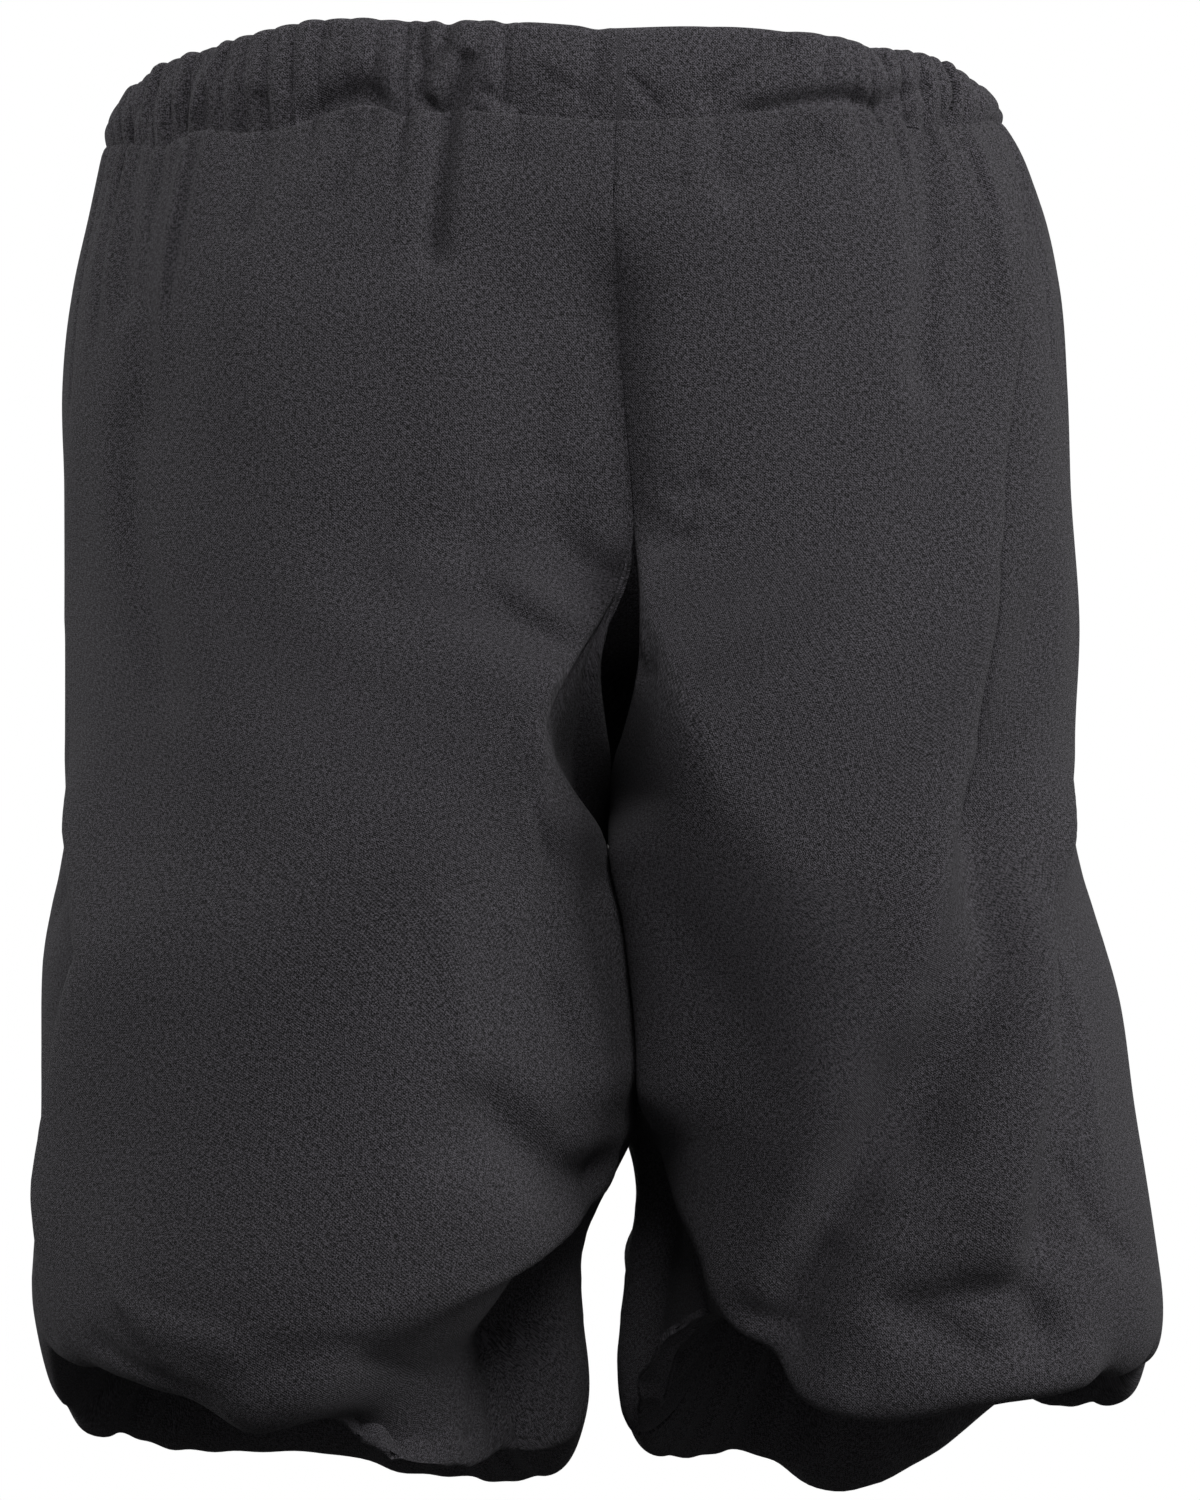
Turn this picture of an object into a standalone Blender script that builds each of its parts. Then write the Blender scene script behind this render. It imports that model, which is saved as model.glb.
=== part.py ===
"""Loose knee breeches with an elasticated waist, built as worn: a gathered waistband, a front and a
back for each leg, and a gathered hem casing inside each leg, over which the cloth blouses.

Metres, +Z up. The front faces -Y and the wearer's left leg is on +X. The origin is at the middle of
the waistband, where the wearer's waist holds the garment up.
"""

import math

import bmesh
import bpy
import numpy as np

MM = 0.001

# Cloth and seams.
CLOTH = 1.6 * MM
SEAM_GAP = 0.3 * MM
STEP = 1e-4

# The share of the way round a leg that a panel stops short of its seams.
SEAM_SHARE = 7e-5

# Mesh density: cells across a panel, down its hanging part and round its turned-under end.
PANEL_CELLS = 28
HANG_CELLS = 20
CELLS_TO_CROTCH = 12
CROTCH_RUN = 0.573
TURN_CELLS = 6

# Where the four panels meet, and where the grooves that run down to it begin, front and back.
CROTCH_Z = -300 * MM
GROOVE_TOP_FRONT = -165 * MM
GROOVE_TOP_BACK = -175 * MM
ROUND_LEG_Z = -350 * MM
ROUNDNESS = 0.80

# The space between the two legs below the crotch, and the curve of the faces that press together.
LEG_SPACE = 0.7 * MM
PRESS = 6 * MM
PRESS_DEPTH = 90 * MM

# The narrow end of each leg, held by its hem casing, and how far out the cloth blouses below it.
KNEE_RADIUS = 62 * MM
KNEE_Z = -450 * MM
TURN_HEIGHT = 34 * MM
BLOUSE = 0.62
CASING_HEIGHT = 22 * MM
CASING_WALL = 4 * MM
KNEE_GATHERS = 28
KNEE_GATHER_DEPTH = 2.2 * MM


def table(columns, *rows):
    """Rows of sizes in millimetres as a dictionary of columns in metres, read by name."""
    return {name: np.array(values) * MM for name, values in zip(columns.split(), zip(*rows))}


# Both halves together: where the centre seams run, and below them the line that parts the legs, and
# how deep the hips are.
HIPS = table(
    "z front_seam back_seam front back",
    (-560, 14, 14, 128, 120),
    (-500, 14, 14, 130, 124),
    (-450, 15, 15, 131, 126),
    (-430, 19, 19, 131, 126),
    (-400, 24, 24, 131, 126),
    (-370, 24, 24, 131, 126),
    (-330, 21, 21, 131, 126),
    (-300, 17.8, 17.8, 131, 126),
    (-290, 17, 17, 131, 126),
    (-262, 18, 12, 131, 131),
    (-212, 24, 5, 130, 137),
    (-175, 26.4, 0, 128, 138),
    (-123, 23, -4, 126, 133),
    (-86, 20, -5, 124, 127),
    (-40, 19, -6, 121, 120),
    (-17, 20, -6, 117, 114),
)

# Each leg: its outer side, the inner side that faces the other leg, its foremost and rearmost
# depth, and the depth at which it is widest.
RIGHT = table(
    "z outer inner front back middle",
    (-560, -204, 8, 112, 116, 6),
    (-505, -205.5, 10, 122, 124, 6),
    (-475, -208.5, 7, 127, 124, 6),
    (-450, -209.5, 7, 130, 121, 6),
    (-420, -208.5, 18, 131, 118, 6),
    (-395, -207, 24, 132, 117, 5),
    (-370, -206, 23.5, 133, 117, 4),
    (-330, -204, 20.5, 134, 118, 2),
    (-290, -197.5, 16.3, 133, 124, 0),
    (-250, -195.5, 16.8, 132, 131, 0),
    (-200, -195.5, 23.5, 131, 136, 0),
    (-150, -196.5, 24, 130, 137, 0),
    (-110, -197, 21, 128, 133, 0),
    (-70, -193.5, 19, 125, 126, 0),
    (-40, -187, 18, 121, 119, 0),
    (-17, -182, 18, 117, 114, 0),
)
LEFT = table(
    "z outer inner front back middle",
    (-560, 232, 22, 96, 128, 14),
    (-520, 238, 20, 104, 136, 14),
    (-490, 239, 21, 112, 138, 14),
    (-460, 235.5, 24, 118, 136, 14),
    (-420, 229.5, 29, 122, 132, 12),
    (-390, 224, 25, 124, 128, 10),
    (-350, 217, 23.5, 126, 124, 6),
    (-320, 209, 21, 128, 124, 3),
    (-290, 202, 17.7, 129, 126, 0),
    (-250, 199.5, 18.2, 130, 131, 0),
    (-200, 201.5, 24.5, 130, 136, 0),
    (-150, 199, 25, 129, 137, 0),
    (-110, 197, 22, 127, 133, 0),
    (-70, 194, 20, 124, 126, 0),
    (-40, 187.5, 19, 121, 119, 0),
    (-17, 178, 19, 117, 114, 0),
    (-8, 172, 19, 117, 114, 0),
)
LEGS = {"right": RIGHT, "left": LEFT}
SIDES = {"right": -1, "left": 1}

# How low the blousing cloth hangs round each leg, by the share of the way round from the inseam.
RIGHT_RIM = {"share": (0, 0.05, 0.08, 0.15, 0.2, 0.26, 0.33, 0.40, 0.45, 0.5,
                       0.55, 0.6, 0.65, 0.70, 0.75, 0.80, 0.85, 0.90, 0.95, 1),
             "low": (522, 526, 526, 524, 518, 501, 491, 484, 487, 512,
                     526, 535, 540, 544, 545, 552, 555, 550, 539, 524)}
LEFT_RIM = {"share": (0, 0.05, 0.09, 0.12, 0.147, 0.172, 0.2, 0.225, 0.27, 0.35, 0.44, 0.5, 0.55, 0.6,
                      0.63, 0.66, 0.70, 0.73, 0.76, 0.81, 0.86, 0.92, 1),
            "low": (522, 514, 490, 480, 477, 481, 492, 498, 495, 490, 490, 497, 514, 523,
                    524, 518, 537, 550, 561, 549, 545, 540, 524)}
RIMS = {"right": RIGHT_RIM, "left": LEFT_RIM}

# The height of the waist seam round each half, from the centre front to the centre back.
RIGHT_WAIST = {"share": (0, 0.03, 0.08, 0.1, 0.118, 0.148, 0.17, 0.22, 0.26, 0.3, 0.37, 0.5, 0.75, 1),
               "high": (-19, -17, -15, -16.5, -12.5, -14.5, -18, -20.5, -18.5, -23, -20, -17.3, -16, -14)}
LEFT_WAIST = {"share": (0, 0.05, 0.11, 0.15, 0.19, 0.225, 0.26, 0.355, 0.42, 0.5, 0.75, 1),
              "high": (-19, -17, -13.6, -11.8, -12.9, -15.5, -16.7, -11.7, -9, -8.6, -11, -14)}
WAIST_SEAMS = {"right": RIGHT_WAIST, "left": LEFT_WAIST}

# The waistband on each half: the height of its upper edge, how far that leans in, and how deep its
# gathers are. Then the gathers counted from the centre front, by share.
RIGHT_BAND = {"share": (0, 0.022, 0.075, 0.105, 0.148, 0.185, 0.229, 0.28, 0.32, 0.355, 0.5, 0.75, 1),
              "top": (16.3, 17.8, 20, 20.4, 21.5, 19.7, 16.2, 12.3, 9.8, 6.5, 2, 14, 14),
              "lean": (1, 1, 1, 1, 1, 1, 2, 3, 3, 4, 6, 3, 1),
              "deep": (0.8, 1, 2.5, 3.4, 2.5, 2.5, 2.8, 3, 3, 3, 3, 2.5, 2.5)}
LEFT_BAND = {"share": (0, 0.05, 0.114, 0.15, 0.188, 0.225, 0.264, 0.3, 0.33, 0.5, 0.75, 1),
             "top": (16.3, 17, 15.9, 15.5, 12.5, 11.6, 10.5, 9, 7.5, 4, 14, 14),
             "lean": (1, 1, 1, 1, 1, 2, 2, 3, 4, 6, 3, 1),
             "deep": (0.8, 0.8, 0.8, 1.5, 2.3, 3, 3, 3, 3, 3, 2.5, 2.5)}
BANDS = {"right": RIGHT_BAND, "left": LEFT_BAND}
RIGHT_GATHERS = {"share": (0, 0.03, 0.1, 0.2, 0.3, 0.4, 0.5, 0.75, 1),
                 "count": (0, 0.6, 4, 9, 14, 18.5, 22, 30.5, 39)}
LEFT_GATHERS = {"share": (0, 0.06, 0.12, 0.17, 0.22, 0.3, 0.4, 0.5, 0.75, 1),
                "count": (0, 1.2, 2.4, 4, 7, 10.5, 13, 15, 23, 31)}
GATHERS = {"right": RIGHT_GATHERS, "left": LEFT_GATHERS}
BAND_WALL = 4 * MM

# How far the legs' cloth steps in where it meets the waistband.
SHOULDER = 3 * MM
SHOULDER_REACH = 2.5 * MM
BAND_BULGE = 2.5 * MM
GATHER_COLUMNS = 3
GATHER_LEAN = 0.006

# Folds of the legs: leg, kind, half width, height, and the path as share and z in millimetres. A
# ridge stands out and a trough sinks in. A step stands out in front of its path and sinks in behind
# it; with a height below zero it is the other way round. Under is cloth tucked in behind its path.
FOLDS = (
    ("right", "under", 11, 13, (0.0, -415), (0.028, -369), (0.042, -330), (0.052, -291), (0.086, -264),
        (0.125, -248), (0.158, -238)),
    ("right", "step", 7, 6, (0.46, -250), (0.439, -285), (0.392, -330), (0.409, -355), (0.429, -396),
        (0.435, -416), (0.42, -460)),
    ("right", "ridge", 45, 7, (0.225, -5), (0.212, -28), (0.189, -54), (0.175, -97), (0.172, -148),
        (0.205, -204), (0.259, -256), (0.256, -308), (0.235, -344), (0.23, -400), (0.23, -500)),
    ("right", "trough", 10, 2.5, (0.30, -20), (0.298, -44), (0.286, -120), (0.28, -150)),
    ("right", "trough", 11, 3.5, (0.303, -110), (0.311, -131), (0.301, -196), (0.327, -250)),
    ("right", "trough", 9, 3, (0.35, -15), (0.341, -27), (0.324, -66), (0.315, -95)),
    ("right", "trough", 6, 3, (0.073, -5), (0.075, -45), (0.077, -80)),
    ("right", "ridge", 20, 3.5, (0.005, -60), (0.021, -141), (0.047, -185), (0.089, -215)),
    ("right", "step", 14, 8, (0.28, -508), (0.259, -496), (0.249, -487), (0.224, -472), (0.177, -458),
        (0.121, -444), (0.065, -427), (0.009, -421)),
    ("right", "trough", 11, 3, (0.25, -512), (0.234, -504), (0.149, -483), (0.03, -470)),
    ("right", "trough", 10, 6, (0.20, -372), (0.168, -386), (0.141, -400), (0.109, -411), (0.084, -416),
        (0.05, -414)),
    ("right", "trough", 11, 4, (0.085, -290), (0.093, -309), (0.082, -362), (0.09, -385)),
    ("right", "trough", 12, 4, (0.60, -10), (0.615, -70), (0.60, -150), (0.61, -200)),
    ("right", "ridge", 16, 4, (0.72, -15), (0.70, -110), (0.727, -240)),
    ("right", "step", 9, -6, (0.651, -270), (0.68, -350), (0.70, -440), (0.69, -490)),
    ("right", "ridge", 13, 5, (0.80, -500), (0.87, -465), (0.97, -440)),
    ("right", "trough", 11, 4, (0.87, -300), (0.885, -350), (0.88, -400)),
    ("left", "step", 8, 7, (0.40, -12), (0.375, -27), (0.327, -67), (0.30, -113), (0.277, -151), (0.269, -180),
        (0.295, -214), (0.325, -253), (0.324, -278), (0.312, -301), (0.296, -314), (0.268, -338), (0.251, -362),
        (0.237, -387), (0.22, -406), (0.203, -425), (0.188, -460)),
    ("left", "step", 8, 8, (0.45, -250), (0.424, -290), (0.375, -329), (0.351, -354), (0.332, -384),
        (0.316, -410), (0.303, -436), (0.30, -465)),
    ("left", "under", 13, 15, (0.20, -492), (0.172, -476), (0.147, -460), (0.105, -436), (0.071, -422),
        (0.03, -408), (0.0, -392)),
    ("left", "trough", 14, 6, (0.13, -300), (0.144, -330), (0.161, -349), (0.181, -368), (0.19, -400)),
    ("left", "trough", 13, 11, (0.32, -225), (0.345, -256), (0.345, -293), (0.323, -328), (0.295, -355),
        (0.264, -376), (0.247, -393), (0.228, -411), (0.211, -433), (0.192, -465), (0.17, -500)),
    ("left", "ridge", 11, 5, (0.17, -472), (0.201, -483), (0.235, -489), (0.259, -481), (0.287, -477),
        (0.327, -475), (0.376, -473)),
    ("left", "trough", 8, 5, (0.235, -464), (0.248, -461), (0.271, -455), (0.296, -454), (0.311, -462),
        (0.323, -470)),
    ("left", "trough", 8, 3, (0.045, -50), (0.063, -43), (0.091, -36), (0.142, -21)),
    ("left", "trough", 9, 4, (0.24, -5), (0.234, -20), (0.222, -46), (0.198, -95), (0.19, -130)),
    ("left", "trough", 14, 3.5, (0.35, -170), (0.351, -196), (0.384, -308), (0.36, -380)),
    ("left", "trough", 12, 4, (0.63, -10), (0.61, -100), (0.63, -200)),
    ("left", "step", 9, -6, (0.70, -40), (0.715, -150), (0.70, -300), (0.74, -440)),
    ("left", "ridge", 13, 6, (0.80, -520), (0.88, -480), (0.97, -445)),
    ("left", "trough", 11, 4, (0.84, -310), (0.86, -360), (0.85, -410)),
)
LEG_GIRTH = 620 * MM


def curve_at(known, values, at):
    """A smooth curve through the known values: a cubic with the slope of its neighbours at each."""
    known, values = np.asarray(known, float), np.asarray(values, float)
    slope = np.gradient(values, known)
    i = np.clip(np.searchsorted(known, at) - 1, 0, len(known) - 2)
    span = known[i + 1] - known[i]
    u = np.clip((at - known[i]) / span, 0, 1)
    return (
        (1 + 2 * u) * (1 - u) ** 2 * values[i]
        + u * (1 - u) ** 2 * span * slope[i]
        + u * u * (3 - 2 * u) * values[i + 1]
        + u * u * (u - 1) * span * slope[i + 1]
    )


def size_at(levels, column, z):
    """One column of a table of levels, at height z."""
    return curve_at(levels["z"], levels[column], z)


def ease(low, high, at):
    """0 at low and 1 at high, with a smooth start and end."""
    u = np.clip((at - low) / (high - low), 0, 1)
    return u * u * (3 - 2 * u)


def rounded(x):
    """A sine or cosine made squarer, as a superellipse is."""
    return np.sign(x) * np.abs(x) ** ROUNDNESS


def section(leg, share, z):
    """The plain form: a point on one half of the garment at height z, that share of the way from the
    centre front or inseam, round the side at a half, to the centre back or inseam.

    It is an oval, made squarer, and its angle is 0 straight ahead, a quarter turn at the side and a
    half turn behind. Near the waist the half runs from straight ahead to straight behind. Below the
    crotch it is a whole oval round the leg, which starts and ends at its inner side. Between them
    both ends turn inwards, by an angle that grows by smooth powers of the depth in the groove
    between the legs, and so the centre seam sinks into it."""
    sizes = LEGS[leg]
    outer, inner = size_at(sizes, "outer", z), size_at(sizes, "inner", z)
    middle = size_at(sizes, "middle", z)
    in_front = share < 0.5
    groove_top = np.where(in_front, GROOVE_TOP_FRONT, GROOVE_TOP_BACK)
    sunk = np.clip((z - groove_top) / (CROTCH_Z - groove_top), 0, 1)
    past = math.pi / 2 * (1 - (1 - sunk) ** 1.5) ** 2
    is_leg = ease(groove_top, ROUND_LEG_Z, z)
    from_side = (2 * share - 1) * (math.pi / 2 + past)
    seam = np.where(in_front, size_at(HIPS, "front_seam", z), size_at(HIPS, "back_seam", z))
    seam = seam + (inner - seam) * ease(CROTCH_Z, ROUND_LEG_Z, z)
    centre = seam + ((inner + outer) / 2 - seam) * is_leg
    towards_side = rounded(np.cos(from_side))
    inwards = rounded(np.cos(from_side) / np.maximum(np.sin(past), STEP))
    x = np.where(np.abs(from_side) < math.pi / 2, centre + (outer - centre) * towards_side,
                 centre + (centre - seam) * inwards)
    front = size_at(HIPS, "front", z) * (1 - is_leg) + size_at(sizes, "front", z) * is_leg
    back = size_at(HIPS, "back", z) * (1 - is_leg) + size_at(sizes, "back", z) * is_leg
    depth = np.where(in_front, front + middle, back - middle)
    y = middle + depth * rounded(np.sin(from_side))
    return x + pressed(y, z) * ease(0.16, 0.06, np.minimum(share, 1 - share)), y


def pressed(y, z):
    """How the legs' inner faces, pressed together, curve: over to the left in front, back behind."""
    press = ease(CROTCH_Z + 8 * MM, CROTCH_Z - 14 * MM, z) * ease(-440 * MM, -395 * MM, z) * PRESS
    return -press * np.sin(math.pi * np.clip(y / PRESS_DEPTH, -1, 1))


def hanging_z(leg, share, fall):
    """Height of the hanging cloth: fall is 0 at the waist seam and 1 where it starts to turn under."""
    top, low = waist_seam_z(leg, share), turn_z(leg, share)
    return top + (low - top) * fall


def waist_seam_z(leg, share):
    """Height of the seam between the waistband and a leg."""
    seam = WAIST_SEAMS[leg]
    return curve_at(seam["share"], seam["high"], share) * MM


def rim_z(leg, share):
    """Height of the lowest point of the blousing cloth."""
    rim = RIMS[leg]
    return -curve_at(rim["share"], rim["low"], share) * MM


def turn_z(leg, share):
    return rim_z(leg, share) + TURN_HEIGHT


def knee_centre(leg):
    """The middle of a leg's narrow end."""
    sizes = LEGS[leg]
    x = (size_at(sizes, "outer", KNEE_Z) + size_at(sizes, "inner", KNEE_Z)) / 2
    y = (size_at(sizes, "back", KNEE_Z) - size_at(sizes, "front", KNEE_Z)) / 2
    return float(x), float(y)


def knee_ring(leg, share, radius):
    """A point of a ring round a leg's narrow end, from the inseam forwards, as section runs."""
    x, y = knee_centre(leg)
    turn = 2 * math.pi * share
    return x - SIDES[leg] * radius * np.cos(turn), y - radius * np.sin(turn)


def chart_z(leg, share, run):
    """Height on the cloth as if it hung straight on past the place where it turns under."""
    tuck = np.clip(run - 1, 0, 1)
    return hanging_z(leg, share, np.clip(run, 0, 1)) - 2 * TURN_HEIGHT * tuck


def plain_cloth(leg, share, run):
    """The plain form of a leg. run is 0 at the waist seam, 1 where the cloth starts to turn under,
    and 2 at the hem casing: that last part is a cubic curve, straight down, round and up again."""
    tuck = np.clip(run - 1, 0, 1)[..., None]
    z = hanging_z(leg, share, np.clip(run, 0, 1))
    start = np.stack([*section(leg, share, z), z], -1)
    above = np.stack([*section(leg, share, z + STEP), z + STEP], -1)
    leaving = start + (start - above) / STEP * (4 / 3) * TURN_HEIGHT
    knee_x, knee_y = knee_ring(leg, share, KNEE_RADIUS)
    end = np.stack([knee_x, knee_y, np.full_like(z, KNEE_Z)], -1)
    arriving = end + (start - end) * BLOUSE
    arriving[..., 2] = KNEE_Z - (4 / 3) * (KNEE_Z - rim_z(leg, share))
    return (
        start * (1 - tuck) ** 3
        + leaving * 3 * tuck * (1 - tuck) ** 2
        + arriving * 3 * tuck**2 * (1 - tuck)
        + end * tuck**3
    )


def from_path(path, share, z):
    """How far points lie in front of (below zero) or behind a path, and the share of its length."""
    points = np.array(path) * (LEG_GIRTH, MM)
    spans = np.diff(points, axis=0)
    lengths = np.hypot(*spans.T)
    run_so_far = np.concatenate([[0], np.cumsum(lengths)])
    x = share * LEG_GIRTH
    nearest, side, along = np.full(x.shape, np.inf), np.zeros(x.shape), np.zeros(x.shape)
    for point, span, length, before in zip(points, spans, lengths, run_so_far):
        dx, dz = x - point[0], z - point[1]
        u = np.clip((dx * span[0] + dz * span[1]) / length**2, 0, 1)
        away = np.hypot(dx - u * span[0], dz - u * span[1])
        closer = away < nearest
        nearest = np.where(closer, away, nearest)
        side = np.where(closer, np.sign(span[0] * dz - span[1] * dx), side)
        along = np.where(closer, (before + u * length) / run_so_far[-1], along)
    return nearest * side, along


def folds(leg, share, z):
    """How far the folds of a leg stand out of its plain form, fading out at the centre seams."""
    total = np.zeros(np.broadcast(share, z).shape)
    for fold_leg, kind, width, height, *path in FOLDS:
        if fold_leg != leg:
            continue
        away, along = from_path(path, share, z)
        away = away / (width * MM)
        if kind == "step":
            shape = -np.tanh(away) * np.exp(-((away / 4) ** 2))
        elif kind == "under":
            shape = np.exp(-(away + np.hypot(away, 0.3)) / 2) - 1
        else:
            shape = np.exp(-away * away) * (1 if kind == "ridge" else -1)
        total = total + height * MM * shape * ease(0, 0.18, along) * ease(1, 0.82, along)
    return total * ease(0, 0.03, share) * ease(1, 0.97, share)


def parting(share, z):
    """Where the two halves meet, from side to side."""
    front = size_at(HIPS, "front_seam", z)
    return front + (size_at(HIPS, "back_seam", z) - front) * (1 - np.cos(math.pi * share)) / 2


def outward(surface, leg, share, run):
    """The unit normal of a surface of share and run, pointing out of the garment."""
    across = surface(leg, np.clip(share + STEP, 0, 1), run) - surface(leg, np.clip(share - STEP, 0, 1), run)
    down = surface(leg, share, np.clip(run + STEP, 0, 2)) - surface(leg, share, np.clip(run - STEP, 0, 2))
    normal = -SIDES[leg] * np.cross(across, down)
    return normal / np.linalg.norm(normal, axis=-1, keepdims=True)


def cloth(leg, share, run):
    """The outer face of a leg with its folds, the gathers at its narrow end, and its own side of the
    line that parts the legs."""
    tuck = np.clip(run - 1, 0, 1)
    stands_out = folds(leg, share, chart_z(leg, share, run)) * ease(1, 0.5, tuck)
    below_seam = waist_seam_z(leg, share) - hanging_z(leg, share, np.clip(run, 0, 1))
    stands_out = stands_out - SHOULDER * np.exp(-below_seam / SHOULDER_REACH)
    gathers = np.cos(2 * math.pi * KNEE_GATHERS * share) * KNEE_GATHER_DEPTH * ease(0.2, 1, tuck)
    points = plain_cloth(leg, share, run)
    points = points + outward(plain_cloth, leg, share, run) * (stands_out + gathers)[..., None]
    z = points[..., 2]
    space = SEAM_GAP + (LEG_SPACE - SEAM_GAP) * ease(CROTCH_Z + 10 * MM, CROTCH_Z - 30 * MM, z)
    limit = parting(share, z) + pressed(points[..., 1], z) + SIDES[leg] * space / 2
    clear = np.minimum if leg == "right" else np.maximum
    points[..., 0] = clear(points[..., 0], limit)
    return points


def panel_shares(first, last):
    shares = np.linspace(first, last, PANEL_CELLS + 1)
    shares[0] += SEAM_SHARE
    shares[-1] -= SEAM_SHARE
    return shares


def panel_runs():
    """Rows of a panel: closer together towards the crotch, then down the leg, then under it."""
    to_crotch = 1 - (1 - np.linspace(0, 1, CELLS_TO_CROTCH + 1)) ** 1.35
    down_leg = np.linspace(CROTCH_RUN, 1, HANG_CELLS - CELLS_TO_CROTCH + 1)[1:]
    below_seam = [0, 0.009, *(to_crotch[1:] * CROTCH_RUN)]
    return np.concatenate([below_seam, down_leg, np.linspace(1, 2, TURN_CELLS + 1)[1:]])


def wall(outer, inner):
    """Vertices and faces of a closed wall between two grids of points of one shape."""
    rows, columns = outer.shape[:2]
    index = np.arange(rows * columns).reshape(rows, columns)
    lower = index + rows * columns

    def quads(a, b, c, d):
        return np.stack([a, b, c, d], -1).reshape(-1, 4)

    faces = [
        quads(index[:-1, :-1], index[1:, :-1], index[1:, 1:], index[:-1, 1:]),
        quads(lower[:-1, :-1], lower[:-1, 1:], lower[1:, 1:], lower[1:, :-1]),
    ]
    for edge, under in ((index[0], lower[0]), (index[-1, ::-1], lower[-1, ::-1]),
                        (index[::-1, 0], lower[::-1, 0]), (index[:, -1], lower[:, -1])):
        faces.append(quads(edge[:-1], edge[1:], under[1:], under[:-1]))
    return np.concatenate([outer.reshape(-1, 3), inner.reshape(-1, 3)]), np.concatenate(faces)


def ring_wall(sections):
    """Vertices and faces of a closed ring from an array of columns, each a closed loop of points."""
    columns, points = sections.shape[:2]
    index = np.arange(columns * points).reshape(columns, points)
    along, around = np.roll(index, -1, 0), np.roll(index, -1, 1)
    faces = np.stack([index, around, np.roll(along, -1, 1), along], -1).reshape(-1, 4)
    return sections.reshape(-1, 3), faces


def material(name, colour, roughness):
    made = bpy.data.materials.new(name)
    made.use_nodes = True
    shader = made.node_tree.nodes["Principled BSDF"]
    shader.inputs["Base Color"].default_value = (*colour, 1)
    shader.inputs["Roughness"].default_value = roughness
    made.diffuse_color = (*colour, 1)
    return made


def add_solid(name, vertices, faces, colour):
    """One named solid with its own material, its faces turned outwards."""
    mesh = bpy.data.meshes.new(name)
    mesh.from_pydata(vertices.tolist(), [], faces.tolist())
    shape = bmesh.new()
    shape.from_mesh(mesh)
    bmesh.ops.triangulate(shape, faces=shape.faces)
    bmesh.ops.recalc_face_normals(shape, faces=shape.faces)
    shape.to_mesh(mesh)
    shape.free()
    mesh.materials.append(material(f"{name}_cloth", colour, 0.9))
    solid = bpy.data.objects.new(name, mesh)
    bpy.context.scene.collection.objects.link(solid)
    return solid


def add_panel(name, leg, first, last, colour):
    """A front or a back of a leg: its outer face, and the inner face a cloth's thickness inside it."""
    share, run = np.meshgrid(panel_shares(first, last), panel_runs())
    outer = cloth(leg, share, run)
    inner = outer - outward(cloth, leg, share, run) * CLOTH
    for face in (outer, inner):
        face[0, :, 2] = waist_seam_z(leg, share[0])
        face[-1, :, 2] = KNEE_Z
    add_solid(name, *wall(outer, inner), colour)


def band_points(leg, share, high, inwards):
    """A point of the waistband: high is 0 at its seam and 1 at its top, inwards its depth in the
    wall."""
    band, gathers = BANDS[leg], GATHERS[leg]
    count = np.interp(share, gathers["share"], gathers["count"])
    share = np.clip(share - GATHER_LEAN * high * np.sin(math.pi * share), 0, 1)
    joins = np.concatenate([panel_shares(0, 0.5), panel_shares(0.5, 1)])
    seam = np.interp(share, joins, waist_seam_z(leg, joins)) + SEAM_GAP
    top = curve_at(band["share"], band["top"], share) * MM
    lean = curve_at(band["share"], band["lean"], share) * MM
    deep = curve_at(band["share"], band["deep"], share) * MM
    x, y = section(leg, share, seam)
    ahead, behind = np.clip(share + STEP, 0, 1), np.clip(share - STEP, 0, 1)
    (x1, y1), (x0, y0) = section(leg, ahead, seam), section(leg, behind, seam)
    out_x, out_y = SIDES[leg] * (y1 - y0), -SIDES[leg] * (x1 - x0)
    length = np.hypot(out_x, out_y)
    wave = -np.cos(2 * math.pi * count) * (0.3 + 0.7 * ease(0, 0.3, high)) * (1 - 0.25 * high)
    out = BAND_BULGE * np.sin(math.pi * high) - lean * high**1.5 + deep * wave - SHOULDER - inwards
    return np.stack([x + out_x / length * out, y + out_y / length * out, seam + (top - seam) * high], -1)


def add_waistband(name, colour):
    """One folded band all the way round, drawn in by the elastic inside it."""
    high = np.array([0, 0.3, 0.7, 1, 1, 0.7, 0.3, 0])
    inwards = np.array([0, 0, 0, 0.15, 0.85, 1, 1, 1]) * BAND_WALL
    halves = []
    for leg in ("right", "left"):
        gathers = GATHERS[leg]
        counts = np.arange(gathers["count"][-1] * GATHER_COLUMNS + 1) / GATHER_COLUMNS
        share = np.interp(counts, gathers["count"], gathers["share"])
        halves.append(band_points(leg, share[:, None], high[None, :], inwards[None, :]))
    right, left = halves
    add_solid(name, *ring_wall(np.concatenate([right[:-1], left[:0:-1]])), colour)


def add_hem_casing(name, leg, colour):
    """A gathered ring inside the leg, which the turned-under cloth ends on."""
    share = np.arange(2 * KNEE_GATHERS) / (2 * KNEE_GATHERS)
    high = np.array([0, 0.5, 1, 1, 0.5, 0])
    radius = KNEE_RADIUS + np.array([-0.25, -0.4, -0.25, 0.75, 0.75, 0.75]) * CASING_WALL
    wave = np.cos(2 * math.pi * KNEE_GATHERS * share)[:, None] * KNEE_GATHER_DEPTH
    x, y = knee_ring(leg, share[:, None], radius[None, :] - wave)
    z = KNEE_Z + SEAM_GAP + CASING_HEIGHT * high[None, :] + 0 * x
    add_solid(name, *ring_wall(np.stack([x, y, z], -1)), colour)


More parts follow.
